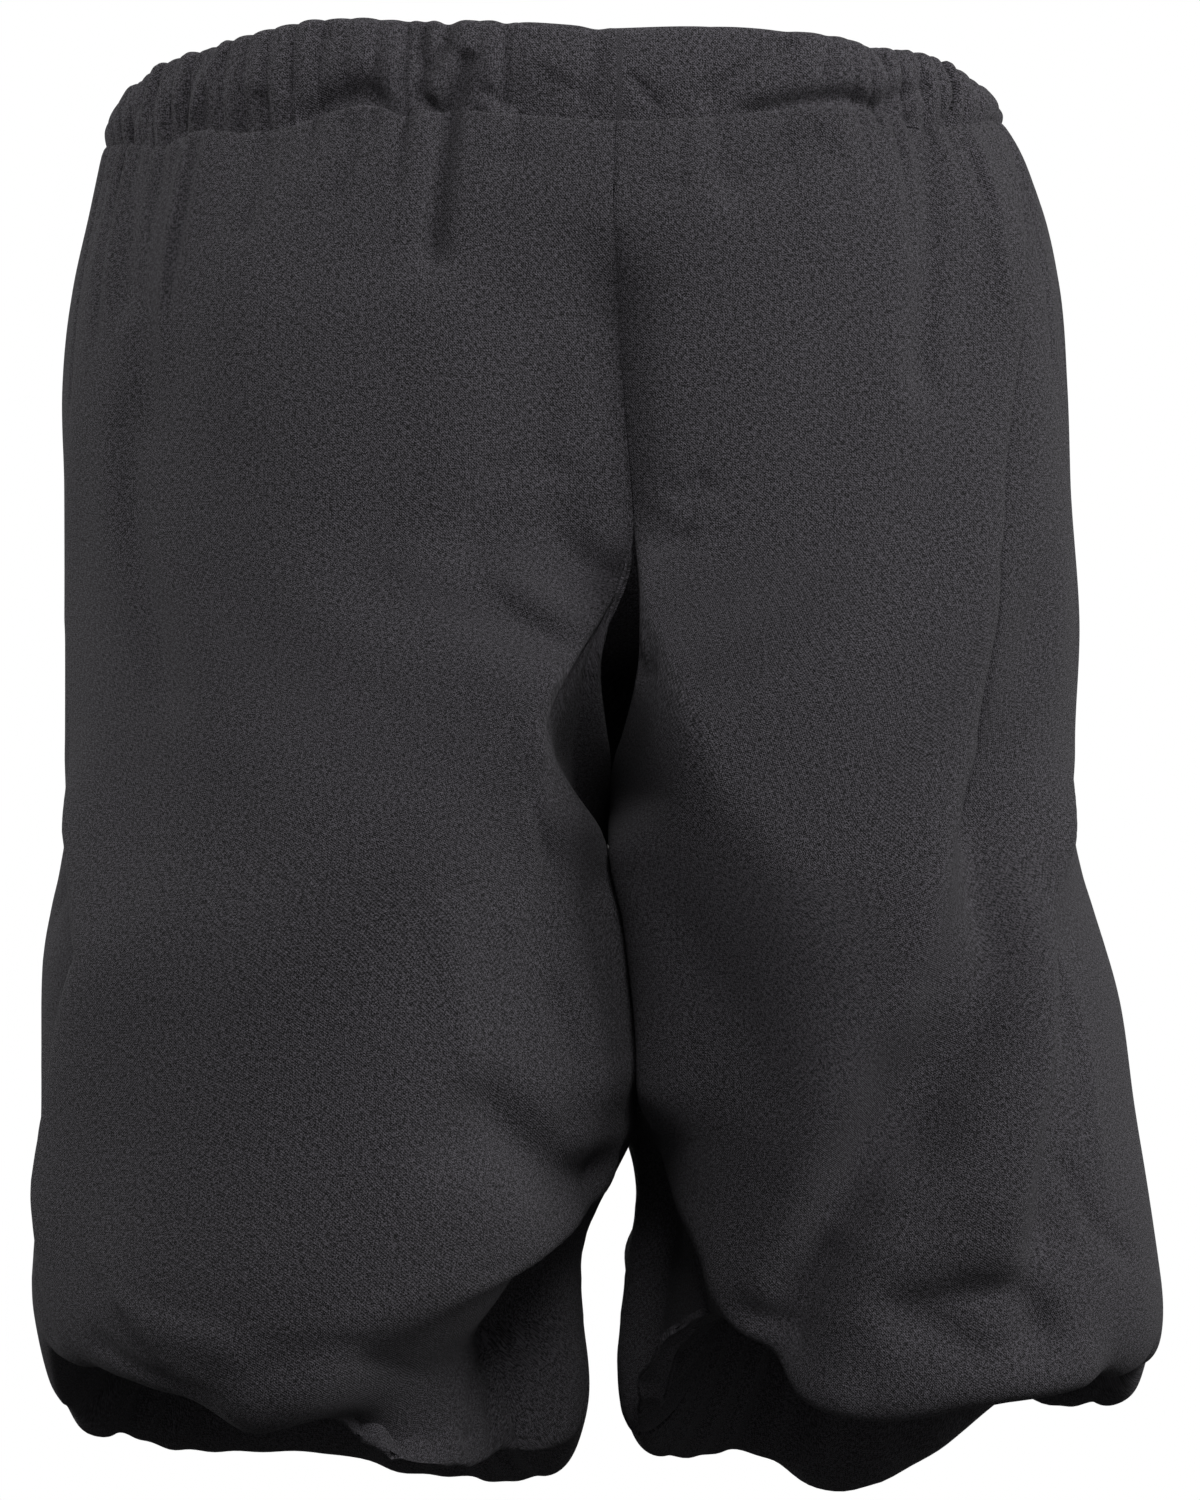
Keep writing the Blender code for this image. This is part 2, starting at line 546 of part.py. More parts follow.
def main():
    for thing in list(bpy.data.objects):
        bpy.data.objects.remove(thing)
    charcoal, band_charcoal = (0.033, 0.031, 0.036), (0.029, 0.027, 0.031)
    add_waistband("waistband", band_charcoal)
    for leg in ("right", "left"):
        add_panel(f"{leg}_leg_front", leg, 0, 0.5, charcoal)
        add_panel(f"{leg}_leg_back", leg, 0.5, 1, charcoal)
        add_hem_casing(f"{leg}_hem_casing", leg, band_charcoal)


main()
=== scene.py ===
"""Looks of a pair of knee breeches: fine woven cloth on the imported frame, a camera, a floor and
soft light. Metres, +Z up; the front faces -Y and the wearer's left leg is on +X."""

import math

import bpy
import numpy as np
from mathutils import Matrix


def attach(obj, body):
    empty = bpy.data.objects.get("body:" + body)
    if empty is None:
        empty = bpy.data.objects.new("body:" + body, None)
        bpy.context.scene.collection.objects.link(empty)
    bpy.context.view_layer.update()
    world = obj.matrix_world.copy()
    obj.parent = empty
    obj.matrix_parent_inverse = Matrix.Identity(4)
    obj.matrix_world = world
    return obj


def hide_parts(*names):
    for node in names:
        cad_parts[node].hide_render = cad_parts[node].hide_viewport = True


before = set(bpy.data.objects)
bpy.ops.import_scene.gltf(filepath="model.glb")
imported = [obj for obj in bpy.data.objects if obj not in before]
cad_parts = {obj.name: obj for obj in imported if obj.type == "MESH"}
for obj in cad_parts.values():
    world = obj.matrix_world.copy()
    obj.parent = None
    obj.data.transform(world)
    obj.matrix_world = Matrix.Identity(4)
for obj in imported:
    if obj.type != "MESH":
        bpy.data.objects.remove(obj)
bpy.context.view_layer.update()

# The camera stands level in front of the garment, two metres away, a little to the wearer's left of
# its middle. Its picture is as high as PICTURE_HEIGHT where the garment is.
CAMERA_DISTANCE = 1.9
PICTURE_HEIGHT = 0.5925
camera = bpy.data.objects.new("camera", bpy.data.cameras.new("camera"))
camera.data.sensor_fit = "VERTICAL"
camera.data.sensor_height = 36
camera.data.lens = camera.data.sensor_height * CAMERA_DISTANCE / PICTURE_HEIGHT
camera.location = (0.0138, -CAMERA_DISTANCE, -0.2523)
camera.rotation_euler = (math.pi / 2, 0, 0)
bpy.context.scene.collection.objects.link(camera)
bpy.context.scene.camera = camera


# The studio: a round dark floor a metre below the waist, where the floor is when such a garment is
# worn, a broad lamp high in front, one to each side, and a white backdrop that is grey on the
# camera's side and dark overhead. The garment hangs clear of the floor, as on a figure.
FLOOR_Z = -1.05
FLOOR_RADIUS = 3.0
GARMENT_MIDDLE = (0, 0, -0.25)


def floor_points(radius, turn):
    """Rings of points of a disc that curves up a little towards its edge, as a parabola does."""
    lift = 0.02 * (radius / FLOOR_RADIUS) ** 2
    return np.stack([radius * np.cos(turn), radius * np.sin(turn), FLOOR_Z + lift], -1)


ring, turn = np.meshgrid(FLOOR_RADIUS * np.linspace(0.02, 1, 12), np.linspace(0, 2 * math.pi, 73)[:-1])
disc = floor_points(ring, turn)
rows, columns = ring.shape
index = np.arange(rows * columns).reshape(rows, columns)
following = np.roll(index, -1, 0)
quads = np.stack([index[:, :-1], index[:, 1:], following[:, 1:], following[:, :-1]], -1).reshape(-1, 4)
floor_mesh = bpy.data.meshes.new("studio_floor")
floor_mesh.from_pydata(disc.reshape(-1, 3).tolist(), [], quads.tolist() + [index[:, 0].tolist()])
floor_mesh.shade_smooth()
studio_floor = bpy.data.objects.new("studio_floor", floor_mesh)
floor_paint = bpy.data.materials.new("floor_paint")
floor_paint.use_nodes = True
floor_shader = floor_paint.node_tree.nodes["Principled BSDF"]
floor_shader.inputs["Base Color"].default_value = (0.05, 0.05, 0.05, 1)
floor_shader.inputs["Roughness"].default_value = 1
floor_mesh.materials.append(floor_paint)
bpy.context.scene.collection.objects.link(studio_floor)


def add_lamp(name, size, power, place):
    """A square lamp at place, facing the middle of the garment."""
    lamp = bpy.data.objects.new(name, bpy.data.lights.new(name, "AREA"))
    lamp.data.size = size
    lamp.data.energy = power
    x, y, z = np.subtract(GARMENT_MIDDLE, place)
    lamp.location = place
    lamp.rotation_euler = (math.atan2(np.hypot(x, y), -z), 0, math.atan2(-x, y))
    bpy.context.scene.collection.objects.link(lamp)


add_lamp("lamp_front", 1.1, 52, (0.45, -2.3, 1.4))
add_lamp("lamp_left", 1.0, 34, (-2.35, 0.15, 0.9))
add_lamp("lamp_right", 1.0, 53, (2.15, -0.95, 1.0))
world = bpy.data.worlds.new("world")
world.use_nodes = True
sky = world.node_tree.nodes
links = world.node_tree.links


def fading(value, start, end, first, last):
    """A smooth change from first to last as a value of the direction goes from start to end."""
    node = sky.new("ShaderNodeMapRange")
    node.interpolation_type = "SMOOTHSTEP"
    for socket, number in (("From Min", start), ("From Max", end), ("To Min", first), ("To Max", last)):
        node.inputs[socket].default_value = number
    links.new(value, node.inputs["Value"])
    return node.outputs["Result"]


direction = sky.new("ShaderNodeTexCoord")
parts = sky.new("ShaderNodeSeparateXYZ")
links.new(direction.outputs["Generated"], parts.inputs[0])
strength = sky.new("ShaderNodeMath")
strength.operation = "MULTIPLY"
links.new(fading(parts.outputs["Z"], 0.17, 0.34, 1.0, 0.08), strength.inputs[0])
links.new(fading(parts.outputs["Y"], -0.4, 0.7, 0.30, 1.0), strength.inputs[1])
links.new(strength.outputs[0], sky["Background"].inputs["Strength"])
sky["Background"].inputs["Color"].default_value = (1, 1, 1, 1)
bpy.context.scene.world = world
bpy.context.scene.view_settings.view_transform = "Standard"


# The charcoal cloth, for every piece: a coarse plain weave of dull, slightly hairy yarn, with
# thicker and thinner threads, a little uneven in colour. Its pattern follows the cloth's own UV map,
# in metres along and across the grain. Thick places are counted by the metre.
THREAD_WIDTH = 0.00056
THREAD_WANDER = 0.0012
THICK_ACROSS = 1900
THICK_ALONG = 560
HAIRS = 2700
MEAN_SHADE = 3.12
DARKEST = 0.12
LIGHTEST = 1.88


class Yarn:
    """A shader socket. Arithmetic on it adds Math nodes, and make adds any other node."""

    def __init__(self, tree, socket=None):
        self.tree = tree
        self.socket = socket

    def make(self, kind, settings=None, values=None, output=0):
        node = self.tree.nodes.new(kind)
        for name, setting in (settings or {}).items():
            setattr(node, name, setting)
        for name, value in (values or {}).items():
            if isinstance(value, Yarn):
                self.tree.links.new(value.socket, node.inputs[name])
            else:
                node.inputs[name].default_value = value
        return Yarn(self.tree, node.outputs[output])

    def maths(self, operation, first, second=0.0):
        return self.make("ShaderNodeMath", {"operation": operation}, {0: first, 1: second})

    def __add__(self, other):
        return self.maths("ADD", self, other)

    __radd__ = __add__

    def __mul__(self, other):
        return self.maths("MULTIPLY", self, other)

    __rmul__ = __mul__

    def __sub__(self, other):
        return self.maths("SUBTRACT", self, other)

    def __rsub__(self, other):
        return self.maths("SUBTRACT", other, self)


def woven_cloth(name, colour):
    """Charcoal plain weave. Threads cross as the product of two sines; noise stretched along each
    thread makes it thick and thin, and fine noise is the hair of the yarn."""
    material = bpy.data.materials.new(name)
    material.use_nodes = True
    tree = material.node_tree
    shader = tree.nodes["Principled BSDF"]
    start = Yarn(tree)
    uv = start.make("ShaderNodeUVMap", {"uv_map": "grain"})
    across = start.make("ShaderNodeSeparateXYZ", None, {0: uv})
    along = Yarn(tree, across.socket.node.outputs[1])

    def noise(wide, high, detail=2.0, rough=0.5):
        place = start.make("ShaderNodeCombineXYZ", None, {0: across * wide, 1: along * high, 2: 0.0})
        return start.make("ShaderNodeTexNoise", {"noise_dimensions": "2D"},
                          {"Vector": place, "Scale": 1.0, "Detail": detail, "Roughness": rough})

    wander = noise(45, 45) * THREAD_WANDER
    warp = start.maths("SINE", (across + wander) * (math.pi / THREAD_WIDTH))
    weft = start.maths("SINE", (along + wander) * (math.pi / THREAD_WIDTH))
    crossing = warp * weft
    thick_warp = noise(THICK_ACROSS, THICK_ALONG, 1.0)
    thick_weft = noise(THICK_ALONG, THICK_ACROSS, 1.0)
    hair = noise(HAIRS, HAIRS, 1.0, 0.6)
    patches = noise(14, 11, 3.0)
    height = crossing * 0.35 + (thick_warp + thick_weft) * 0.8 + hair * 0.8
    shade = (thick_warp + thick_weft) * 2.1 + hair * 2.8 + patches * 0.08 + crossing * 0.30
    dark = tuple(DARKEST * part for part in colour) + (1,)
    light = tuple(LIGHTEST * part for part in colour) + (1,)
    base = start.make("ShaderNodeMix", {"data_type": "RGBA"},
                      {"Factor": shade - MEAN_SHADE, 6: dark, 7: light}, 2)
    bump = start.make("ShaderNodeBump", None, {"Strength": 0.7, "Distance": 0.0008, "Height": height})
    tree.links.new(base.socket, shader.inputs["Base Color"])
    tree.links.new(bump.socket, shader.inputs["Normal"])
    shader.inputs["Roughness"].default_value = 0.92
    shader.inputs["Specular IOR Level"].default_value = 0.25
    shader.inputs["Sheen Weight"].default_value = 0.03
    shader.inputs["Sheen Roughness"].default_value = 0.6
    return material


# The legs: a front and a back each, cut straight and full, joined by a centre front, centre back,
# side seams and inseams. Under its own weight the cloth hangs straight from the waistband, and at
# the knee it blouses over and turns up inside to a hidden casing.
MM = 0.001
CLOTH = 1.6 * MM
SEAM_GAP = 0.3 * MM
SEWN_GAP = 0.04 * MM
STEP = 1e-4
SEAM_SHARE = 7e-5
CROTCH_Z = -300 * MM
GROOVE_TOP_FRONT = -165 * MM
GROOVE_TOP_BACK = -175 * MM
ROUND_LEG_Z = -350 * MM
ROUNDNESS = 0.80
LEG_SPACE = 0.7 * MM
PRESS = 6 * MM
PRESS_DEPTH = 90 * MM
KNEE_RADIUS = 62 * MM
KNEE_Z = -450 * MM
TURN_HEIGHT = 34 * MM
BLOUSE = 0.62
KNEE_GATHERS = 28
KNEE_GATHER_DEPTH = 2.2 * MM
KNEE_LOBE_DEPTH = 2.6 * MM
SHOULDER = 3 * MM
TOP_EDGE = 1.0 * MM
LEG_GIRTH = 620 * MM
SEAM_DIP = 0.45 * MM
SEAM_DIP_WIDTH = 1.6 * MM
SEAM_PUCKER = 0.30 * MM
CENTRE_VALLEY = 11.5 * MM
RIGHT_BANK = 19 * MM
LEFT_BANK = 15 * MM
HEM_TUCK = 34 * MM
HEM_TUCK_FALL = 48 * MM


def table(columns, *rows):
    """Rows of sizes in millimetres as a dictionary of columns in metres, read by name."""
    return {name: np.array(values) * MM for name, values in zip(columns.split(), zip(*rows))}


# Both halves together: where the centre seams run, and below them the line that parts the legs, and
# how deep the hips are.
HIPS = table(
    "z front_seam back_seam front back",
    (-560, 14, 14, 128, 120),
    (-500, 14, 14, 130, 124),
    (-450, 15, 15, 131, 126),
    (-430, 19, 19, 131, 126),
    (-400, 24, 24, 131, 126),
    (-370, 24, 24, 131, 126),
    (-330, 21, 21, 131, 126),
    (-300, 17.8, 17.8, 131, 126),
    (-290, 17, 17, 131, 126),
    (-262, 18, 12, 131, 131),
    (-212, 24, 5, 130, 137),
    (-175, 26.4, 0, 128, 138),
    (-123, 23, -4, 126, 133),
    (-86, 20, -5, 124, 127),
    (-40, 19, -6, 121, 120),
    (-17, 20, -6, 117, 114),
)

# Each leg: its outer side, the inner side that faces the other leg, its foremost and rearmost
# depth, and the depth at which it is widest.
RIGHT = table(
    "z outer inner front back middle",
    (-560, -204, 8, 112, 116, 6),
    (-505, -205.5, 10, 122, 124, 6),
    (-475, -208.5, 7, 127, 124, 6),
    (-450, -209.5, 7, 130, 121, 6),
    (-420, -208.5, 18, 131, 118, 6),
    (-395, -207, 24, 132, 117, 5),
    (-370, -206, 23.5, 133, 117, 4),
    (-330, -204, 20.5, 134, 118, 2),
    (-290, -197.5, 16.3, 133, 124, 0),
    (-250, -195.5, 16.8, 132, 131, 0),
    (-200, -195.5, 23.5, 131, 136, 0),
    (-150, -196.5, 24, 130, 137, 0),
    (-110, -197, 21, 128, 133, 0),
    (-70, -193.5, 19, 125, 126, 0),
    (-40, -187, 18, 121, 119, 0),
    (-17, -182, 18, 117, 114, 0),
)
LEFT = table(
    "z outer inner front back middle",
    (-560, 232, 22, 96, 128, 14),
    (-520, 238, 20, 104, 136, 14),
    (-490, 239, 21, 112, 138, 14),
    (-460, 235.5, 24, 118, 136, 14),
    (-420, 229.5, 29, 122, 132, 12),
    (-390, 224, 25, 124, 128, 10),
    (-350, 217, 23.5, 126, 124, 6),
    (-320, 209, 21, 128, 124, 3),
    (-290, 202, 17.7, 129, 126, 0),
    (-250, 199.5, 18.2, 130, 131, 0),
    (-200, 201.5, 24.5, 130, 136, 0),
    (-150, 199, 25, 129, 137, 0),
    (-110, 197, 22, 127, 133, 0),
    (-70, 194, 20, 124, 126, 0),
    (-40, 187.5, 19, 121, 119, 0),
    (-17, 178, 19, 117, 114, 0),
    (-8, 172, 19, 117, 114, 0),
)
LEGS = {"right": RIGHT, "left": LEFT}
SIDES = {"right": -1, "left": 1}

# How low the blousing cloth hangs round each leg, by the share of the way round from the inseam.
RIGHT_RIM = {"share": (0, 0.05, 0.08, 0.15, 0.2, 0.26, 0.33, 0.40, 0.45, 0.5,
                       0.55, 0.6, 0.65, 0.70, 0.75, 0.80, 0.85, 0.90, 0.95, 1),
             "low": (522, 526, 526, 524, 518, 501, 491, 484, 487, 512,
                     526, 535, 540, 544, 545, 552, 555, 550, 539, 524)}
LEFT_RIM = {"share": (0, 0.05, 0.09, 0.12, 0.147, 0.172, 0.2, 0.225, 0.27, 0.35, 0.44, 0.5, 0.55, 0.6,
                      0.63, 0.66, 0.70, 0.73, 0.76, 0.81, 0.86, 0.92, 1),
            "low": (522, 514, 490, 480, 477, 481, 492, 498, 495, 490, 490, 497, 514, 523,
                    524, 518, 537, 550, 561, 549, 545, 540, 524)}
RIMS = {"right": RIGHT_RIM, "left": LEFT_RIM}

# The height of the waist seam round each half, from the centre front to the centre back.
RIGHT_WAIST = {"share": (0, 0.03, 0.08, 0.1, 0.118, 0.148, 0.17, 0.22, 0.26, 0.3, 0.37, 0.5, 0.75, 1),
               "high": (-19, -17, -15, -16.5, -12.5, -14.5, -18, -20.5, -18.5, -23, -20, -17.3, -16, -14)}
LEFT_WAIST = {"share": (0, 0.05, 0.11, 0.15, 0.19, 0.225, 0.26, 0.355, 0.42, 0.5, 0.75, 1),
              "high": (-19, -17, -13.6, -11.8, -12.9, -15.5, -16.7, -11.7, -9, -8.6, -11, -14)}
WAIST_SEAMS = {"right": RIGHT_WAIST, "left": LEFT_WAIST}

# Folds of the legs: leg, kind, half width, height, and the path as share and z in millimetres. A
# ridge stands out and a trough sinks in. A step stands out in front of its path and sinks in behind
# it; with a height below zero it is the other way round. Under is cloth tucked in behind its path.
FOLDS = (
    ("right", "under", 11, 13, (0.0, -415), (0.028, -369), (0.042, -330), (0.052, -291), (0.086, -264),
        (0.125, -248), (0.158, -238)),
    ("right", "step", 7, 6, (0.46, -250), (0.439, -285), (0.392, -330), (0.409, -355), (0.429, -396),
        (0.435, -416), (0.42, -460)),
    ("right", "ridge", 45, 7, (0.225, -5), (0.212, -28), (0.189, -54), (0.175, -97), (0.172, -148),
        (0.205, -204), (0.259, -256), (0.256, -308), (0.235, -344), (0.23, -400), (0.23, -500)),
    ("right", "trough", 10, 2.5, (0.30, -20), (0.298, -44), (0.286, -120), (0.28, -150)),
    ("right", "trough", 11, 3.5, (0.303, -110), (0.311, -131), (0.301, -196), (0.327, -250)),
    ("right", "trough", 9, 3, (0.35, -15), (0.341, -27), (0.324, -66), (0.315, -95)),
    ("right", "trough", 6, 3, (0.073, -5), (0.075, -45), (0.077, -80)),
    ("right", "ridge", 20, 3.5, (0.005, -60), (0.021, -141), (0.047, -185), (0.089, -215)),
    ("right", "step", 14, 8, (0.28, -508), (0.259, -496), (0.249, -487), (0.224, -472), (0.177, -458),
        (0.121, -444), (0.065, -427), (0.03, -421)),
    ("right", "trough", 11, 3, (0.25, -512), (0.234, -504), (0.149, -483), (0.03, -470)),
    ("right", "trough", 10, 6, (0.20, -372), (0.168, -386), (0.141, -400), (0.109, -411), (0.084, -416),
        (0.05, -414)),
    ("right", "trough", 11, 4, (0.085, -290), (0.093, -309), (0.082, -362), (0.09, -385)),
    ("right", "trough", 12, 4, (0.60, -10), (0.615, -70), (0.60, -150), (0.61, -200)),
    ("right", "ridge", 16, 4, (0.72, -15), (0.70, -110), (0.727, -240)),
    ("right", "step", 9, -6, (0.651, -270), (0.68, -350), (0.70, -440), (0.69, -490)),
    ("right", "ridge", 13, 5, (0.80, -500), (0.87, -465), (0.97, -440)),
    ("right", "trough", 11, 4, (0.87, -300), (0.885, -350), (0.88, -400)),
    ("left", "step", 8, 7, (0.40, -12), (0.375, -27), (0.327, -67), (0.30, -113), (0.277, -151),
        (0.269, -180), (0.295, -214), (0.325, -253), (0.324, -278), (0.312, -301), (0.296, -314),
        (0.268, -338), (0.251, -362), (0.237, -387), (0.22, -406), (0.203, -425), (0.188, -460)),
    ("left", "step", 8, 8, (0.45, -250), (0.424, -290), (0.375, -329), (0.351, -354), (0.332, -384),
        (0.316, -410), (0.303, -436), (0.30, -465)),
    ("left", "under", 13, 15, (0.20, -492), (0.172, -476), (0.147, -460), (0.105, -436), (0.071, -422),
        (0.03, -408), (0.0, -392)),
    ("left", "trough", 14, 1.5, (0.13, -300), (0.144, -330), (0.161, -349), (0.181, -368), (0.19, -400)),
    ("left", "trough", 13, 11, (0.32, -225), (0.345, -256), (0.345, -293), (0.323, -328), (0.295, -355),
        (0.264, -376), (0.247, -393), (0.228, -411), (0.211, -433), (0.192, -465), (0.17, -500)),
    ("left", "ridge", 11, 5, (0.17, -472), (0.201, -483), (0.235, -489), (0.259, -481), (0.287, -477),
        (0.327, -475), (0.376, -473)),
    ("left", "trough", 8, 5, (0.235, -464), (0.248, -461), (0.271, -455), (0.296, -454), (0.311, -462),
        (0.323, -470)),
    ("left", "trough", 8, 3, (0.045, -50), (0.063, -43), (0.091, -36), (0.142, -21)),
    ("left", "trough", 9, 4, (0.24, -5), (0.234, -20), (0.222, -46), (0.198, -95), (0.19, -130)),
    ("left", "trough", 14, 3.5, (0.35, -170), (0.351, -196), (0.384, -308), (0.36, -380)),
    ("left", "trough", 12, 4, (0.63, -10), (0.61, -100), (0.63, -200)),
    ("left", "step", 9, -6, (0.70, -40), (0.715, -150), (0.70, -300), (0.74, -440)),
    ("left", "ridge", 13, 6, (0.80, -520), (0.88, -480), (0.97, -445)),
    ("left", "trough", 11, 4, (0.84, -310), (0.86, -360), (0.85, -410)),
)

# The diagonal fold above the hem of the right front: its height by the share of the way round.
HEM_FOLD = {"share": (0, 0.03, 0.065, 0.121, 0.177, 0.224, 0.259, 0.31, 1),
            "high": (-420, -424, -431, -448, -462, -478, -502, -520, -520)}

# Smaller creases, in the same form: puckers under the waistband, drag lines towards the crotch, the
# swell of each leg where it rests against the other, and the crumpling where the cloth turns under.
CREASES = (
    ("right", "ridge", 9, 5, (0.31, -515), (0.259, -494), (0.224, -470), (0.177, -456), (0.121, -442),
        (0.065, -425), (0.04, -417)),
    ("right", "trough", 12, 5, (0.22, -395), (0.168, -398), (0.141, -408), (0.109, -416), (0.084, -414),
        (0.05, -405)),
    ("right", "ridge", 25, 10.5, (0.09, -258), (0.087, -295), (0.087, -345), (0.08, -395)),
    ("right", "step", 12, 3.5, (0.075, -215), (0.06, -185), (0.05, -145), (0.045, -105), (0.045, -65)),
    ("left", "ridge", 30, 12, (0.08, -268), (0.08, -320), (0.08, -360), (0.09, -405)),
    ("left", "ridge", 8, 3.5, (0.16, -474), (0.201, -487), (0.235, -491), (0.262, -484), (0.29, -479),
        (0.327, -477), (0.376, -475)),
    ("right", "trough", 3.0, 2.2, (0.070, -6), (0.073, -16), (0.075, -30), (0.077, -52), (0.079, -78)),
    ("right", "trough", 2.2, 1.2, (0.10, -12), (0.098, -30), (0.102, -48)),
    ("right", "trough", 2.5, 1.4, (0.135, -12), (0.13, -32), (0.14, -52)),
    ("right", "trough", 3.5, 1.8, (0.195, -14), (0.19, -36), (0.2, -66)),
    ("right", "trough", 3.0, 1.6, (0.262, -16), (0.258, -48), (0.262, -95)),
    ("right", "ridge", 4.0, 1.2, (0.277, -18), (0.27, -60), (0.268, -120)),
    ("right", "trough", 3.5, 1.8, (0.372, -18), (0.36, -50), (0.355, -105)),
    ("right", "trough", 4.0, 1.6, (0.42, -18), (0.415, -60), (0.418, -130)),
    ("right", "trough", 3.0, 1.0, (0.02, -28), (0.035, -34), (0.055, -33)),
    ("right", "trough", 4.0, 1.1, (0.01, -150), (0.03, -146), (0.06, -150)),
    ("right", "trough", 5.0, 1.6, (0.088, -225), (0.037, -205), (0.006, -196)),
    ("right", "trough", 4.0, 2.0, (0.135, -300), (0.139, -270), (0.098, -243)),
    ("right", "ridge", 5.0, 1.6, (0.16, -330), (0.145, -285), (0.112, -246)),
    ("right", "ridge", 6.0, 1.5, (0.21, -300), (0.19, -340), (0.18, -390)),
    ("right", "trough", 5.0, 2.0, (0.13, -335), (0.115, -372), (0.118, -402)),
    ("right", "trough", 4.5, 2.2, (0.28, -478), (0.22, -468), (0.16, -445), (0.12, -436)),
    ("right", "trough", 4.0, 2.2, (0.37, -462), (0.32, -476), (0.27, -482)),
    ("right", "ridge", 4.0, 1.8, (0.35, -452), (0.31, -462), (0.26, -470)),
    ("right", "trough", 4.0, 2.4, (0.11, -500), (0.07, -488), (0.03, -482)),
    ("right", "ridge", 4.0, 2.0, (0.10, -478), (0.06, -468), (0.02, -462)),
    ("right", "trough", 4.5, 2.0, (0.06, -400), (0.035, -415), (0.015, -440)),
    ("right", "trough", 5.0, 1.6, (0.46, -200), (0.455, -260), (0.462, -330)),
    ("right", "trough", 4.0, 1.8, (0.44, -420), (0.43, -452), (0.40, -470)),
    ("right", "trough", 3.5, 1.6, (0.57, -16), (0.575, -45), (0.57, -85)),
    ("right", "trough", 3.5, 1.6, (0.65, -16), (0.645, -55), (0.65, -110)),
    ("right", "ridge", 5.0, 1.4, (0.68, -16), (0.675, -70), (0.68, -150)),
    ("right", "trough", 4.0, 1.8, (0.80, -14), (0.80, -48), (0.81, -90)),
    ("right", "trough", 3.5, 1.5, (0.90, -14), (0.90, -40), (0.895, -70)),
    ("right", "trough", 4.5, 2.0, (0.92, -235), (0.863, -262), (0.85, -300)),
    ("right", "trough", 4.5, 2.2, (0.62, -500), (0.68, -515), (0.75, -512)),
    ("right", "ridge", 4.5, 2.0, (0.77, -490), (0.83, -505), (0.88, -500)),
    ("left", "trough", 2.4, 1.2, (0.035, -14), (0.03, -26), (0.028, -38)),
    ("left", "ridge", 3.0, 1.0, (0.09, -22), (0.12, -18), (0.15, -12)),
    ("left", "trough", 3.5, 1.8, (0.205, -14), (0.20, -40), (0.193, -72)),
    ("left", "trough", 3.0, 1.8, (0.275, -12), (0.281, -30), (0.287, -55)),
    ("left", "ridge", 4.0, 1.4, (0.30, -14), (0.29, -50), (0.283, -90)),
    ("left", "trough", 4.0, 1.8, (0.345, -12), (0.335, -55), (0.33, -110)),
    ("left", "trough", 4.0, 1.6, (0.40, -12), (0.395, -55), (0.40, -120)),
    ("left", "trough", 4.5, 1.6, (0.45, -60), (0.445, -150), (0.45, -240)),
    ("left", "trough", 3.0, 1.2, (0.003, -45), (0.02, -44), (0.036, -41)),
    ("left", "trough", 3.5, 1.5, (0.004, -150), (0.018, -158), (0.036, -150)),
    ("left", "trough", 3.5, 1.5, (0.006, -168), (0.006, -178), (0.03, -172)),
    ("left", "ridge", 4.0, 1.2, (0.005, -160), (0.02, -168), (0.042, -161)),
    ("left", "trough", 5.0, 1.6, (0.01, -215), (0.047, -225), (0.085, -222)),
    ("left", "trough", 4.0, 2.0, (0.05, -420), (0.085, -440), (0.12, -462)),
    ("left", "trough", 5.0, 4.0, (0.145, -450), (0.164, -457), (0.179, -461), (0.191, -464), (0.201, -453),
        (0.215, -430)),
    ("left", "trough", 3.5, 5.0, (0.41, -12), (0.389, -29), (0.341, -68), (0.314, -114), (0.291, -152),
        (0.283, -181), (0.309, -215), (0.339, -254), (0.338, -279), (0.326, -302)),
    ("left", "trough", 4.5, 2.0, (0.16, -480), (0.20, -492), (0.26, -497)),
    ("left", "trough", 4.0, 2.2, (0.24, -462), (0.28, -470), (0.33, -462)),
    ("left", "trough", 5.0, 1.8, (0.34, -400), (0.36, -430), (0.40, -450)),
    ("left", "ridge", 5.0, 1.8, (0.40, -300), (0.39, -360), (0.37, -420)),
    ("left", "trough", 3.5, 1.6, (0.57, -14), (0.575, -45), (0.57, -85)),
    ("left", "trough", 3.5, 1.6, (0.66, -14), (0.655, -60), (0.66, -120)),
    ("left", "trough", 4.0, 1.8, (0.78, -14), (0.785, -48), (0.78, -95)),
    ("left", "ridge", 5.0, 1.4, (0.82, -14), (0.825, -70), (0.82, -140)),
    ("left", "trough", 3.5, 1.5, (0.90, -14), (0.90, -40), (0.905, -75)),
    ("left", "trough", 4.5, 2.0, (0.92, -235), (0.863, -262), (0.86, -300)),
    ("left", "trough", 4.5, 2.2, (0.60, -480), (0.66, -500), (0.72, -515)),
    ("left", "ridge", 4.5, 2.0, (0.74, -500), (0.80, -520), (0.87, -512)),
)

# Gathers of the waist, counted from the centre front, by share.
RIGHT_GATHERS = {"share": (0, 0.03, 0.1, 0.2, 0.3, 0.4, 0.5, 0.75, 1),
                 "count": (0, 0.6, 4, 9, 14, 18.5, 22, 30.5, 39)}
LEFT_GATHERS = {"share": (0, 0.06, 0.12, 0.17, 0.22, 0.3, 0.4, 0.5, 0.75, 1),
                "count": (0, 1.2, 2.4, 4, 7, 10.5, 13, 15, 23, 31)}
GATHERS = {"right": RIGHT_GATHERS, "left": LEFT_GATHERS}


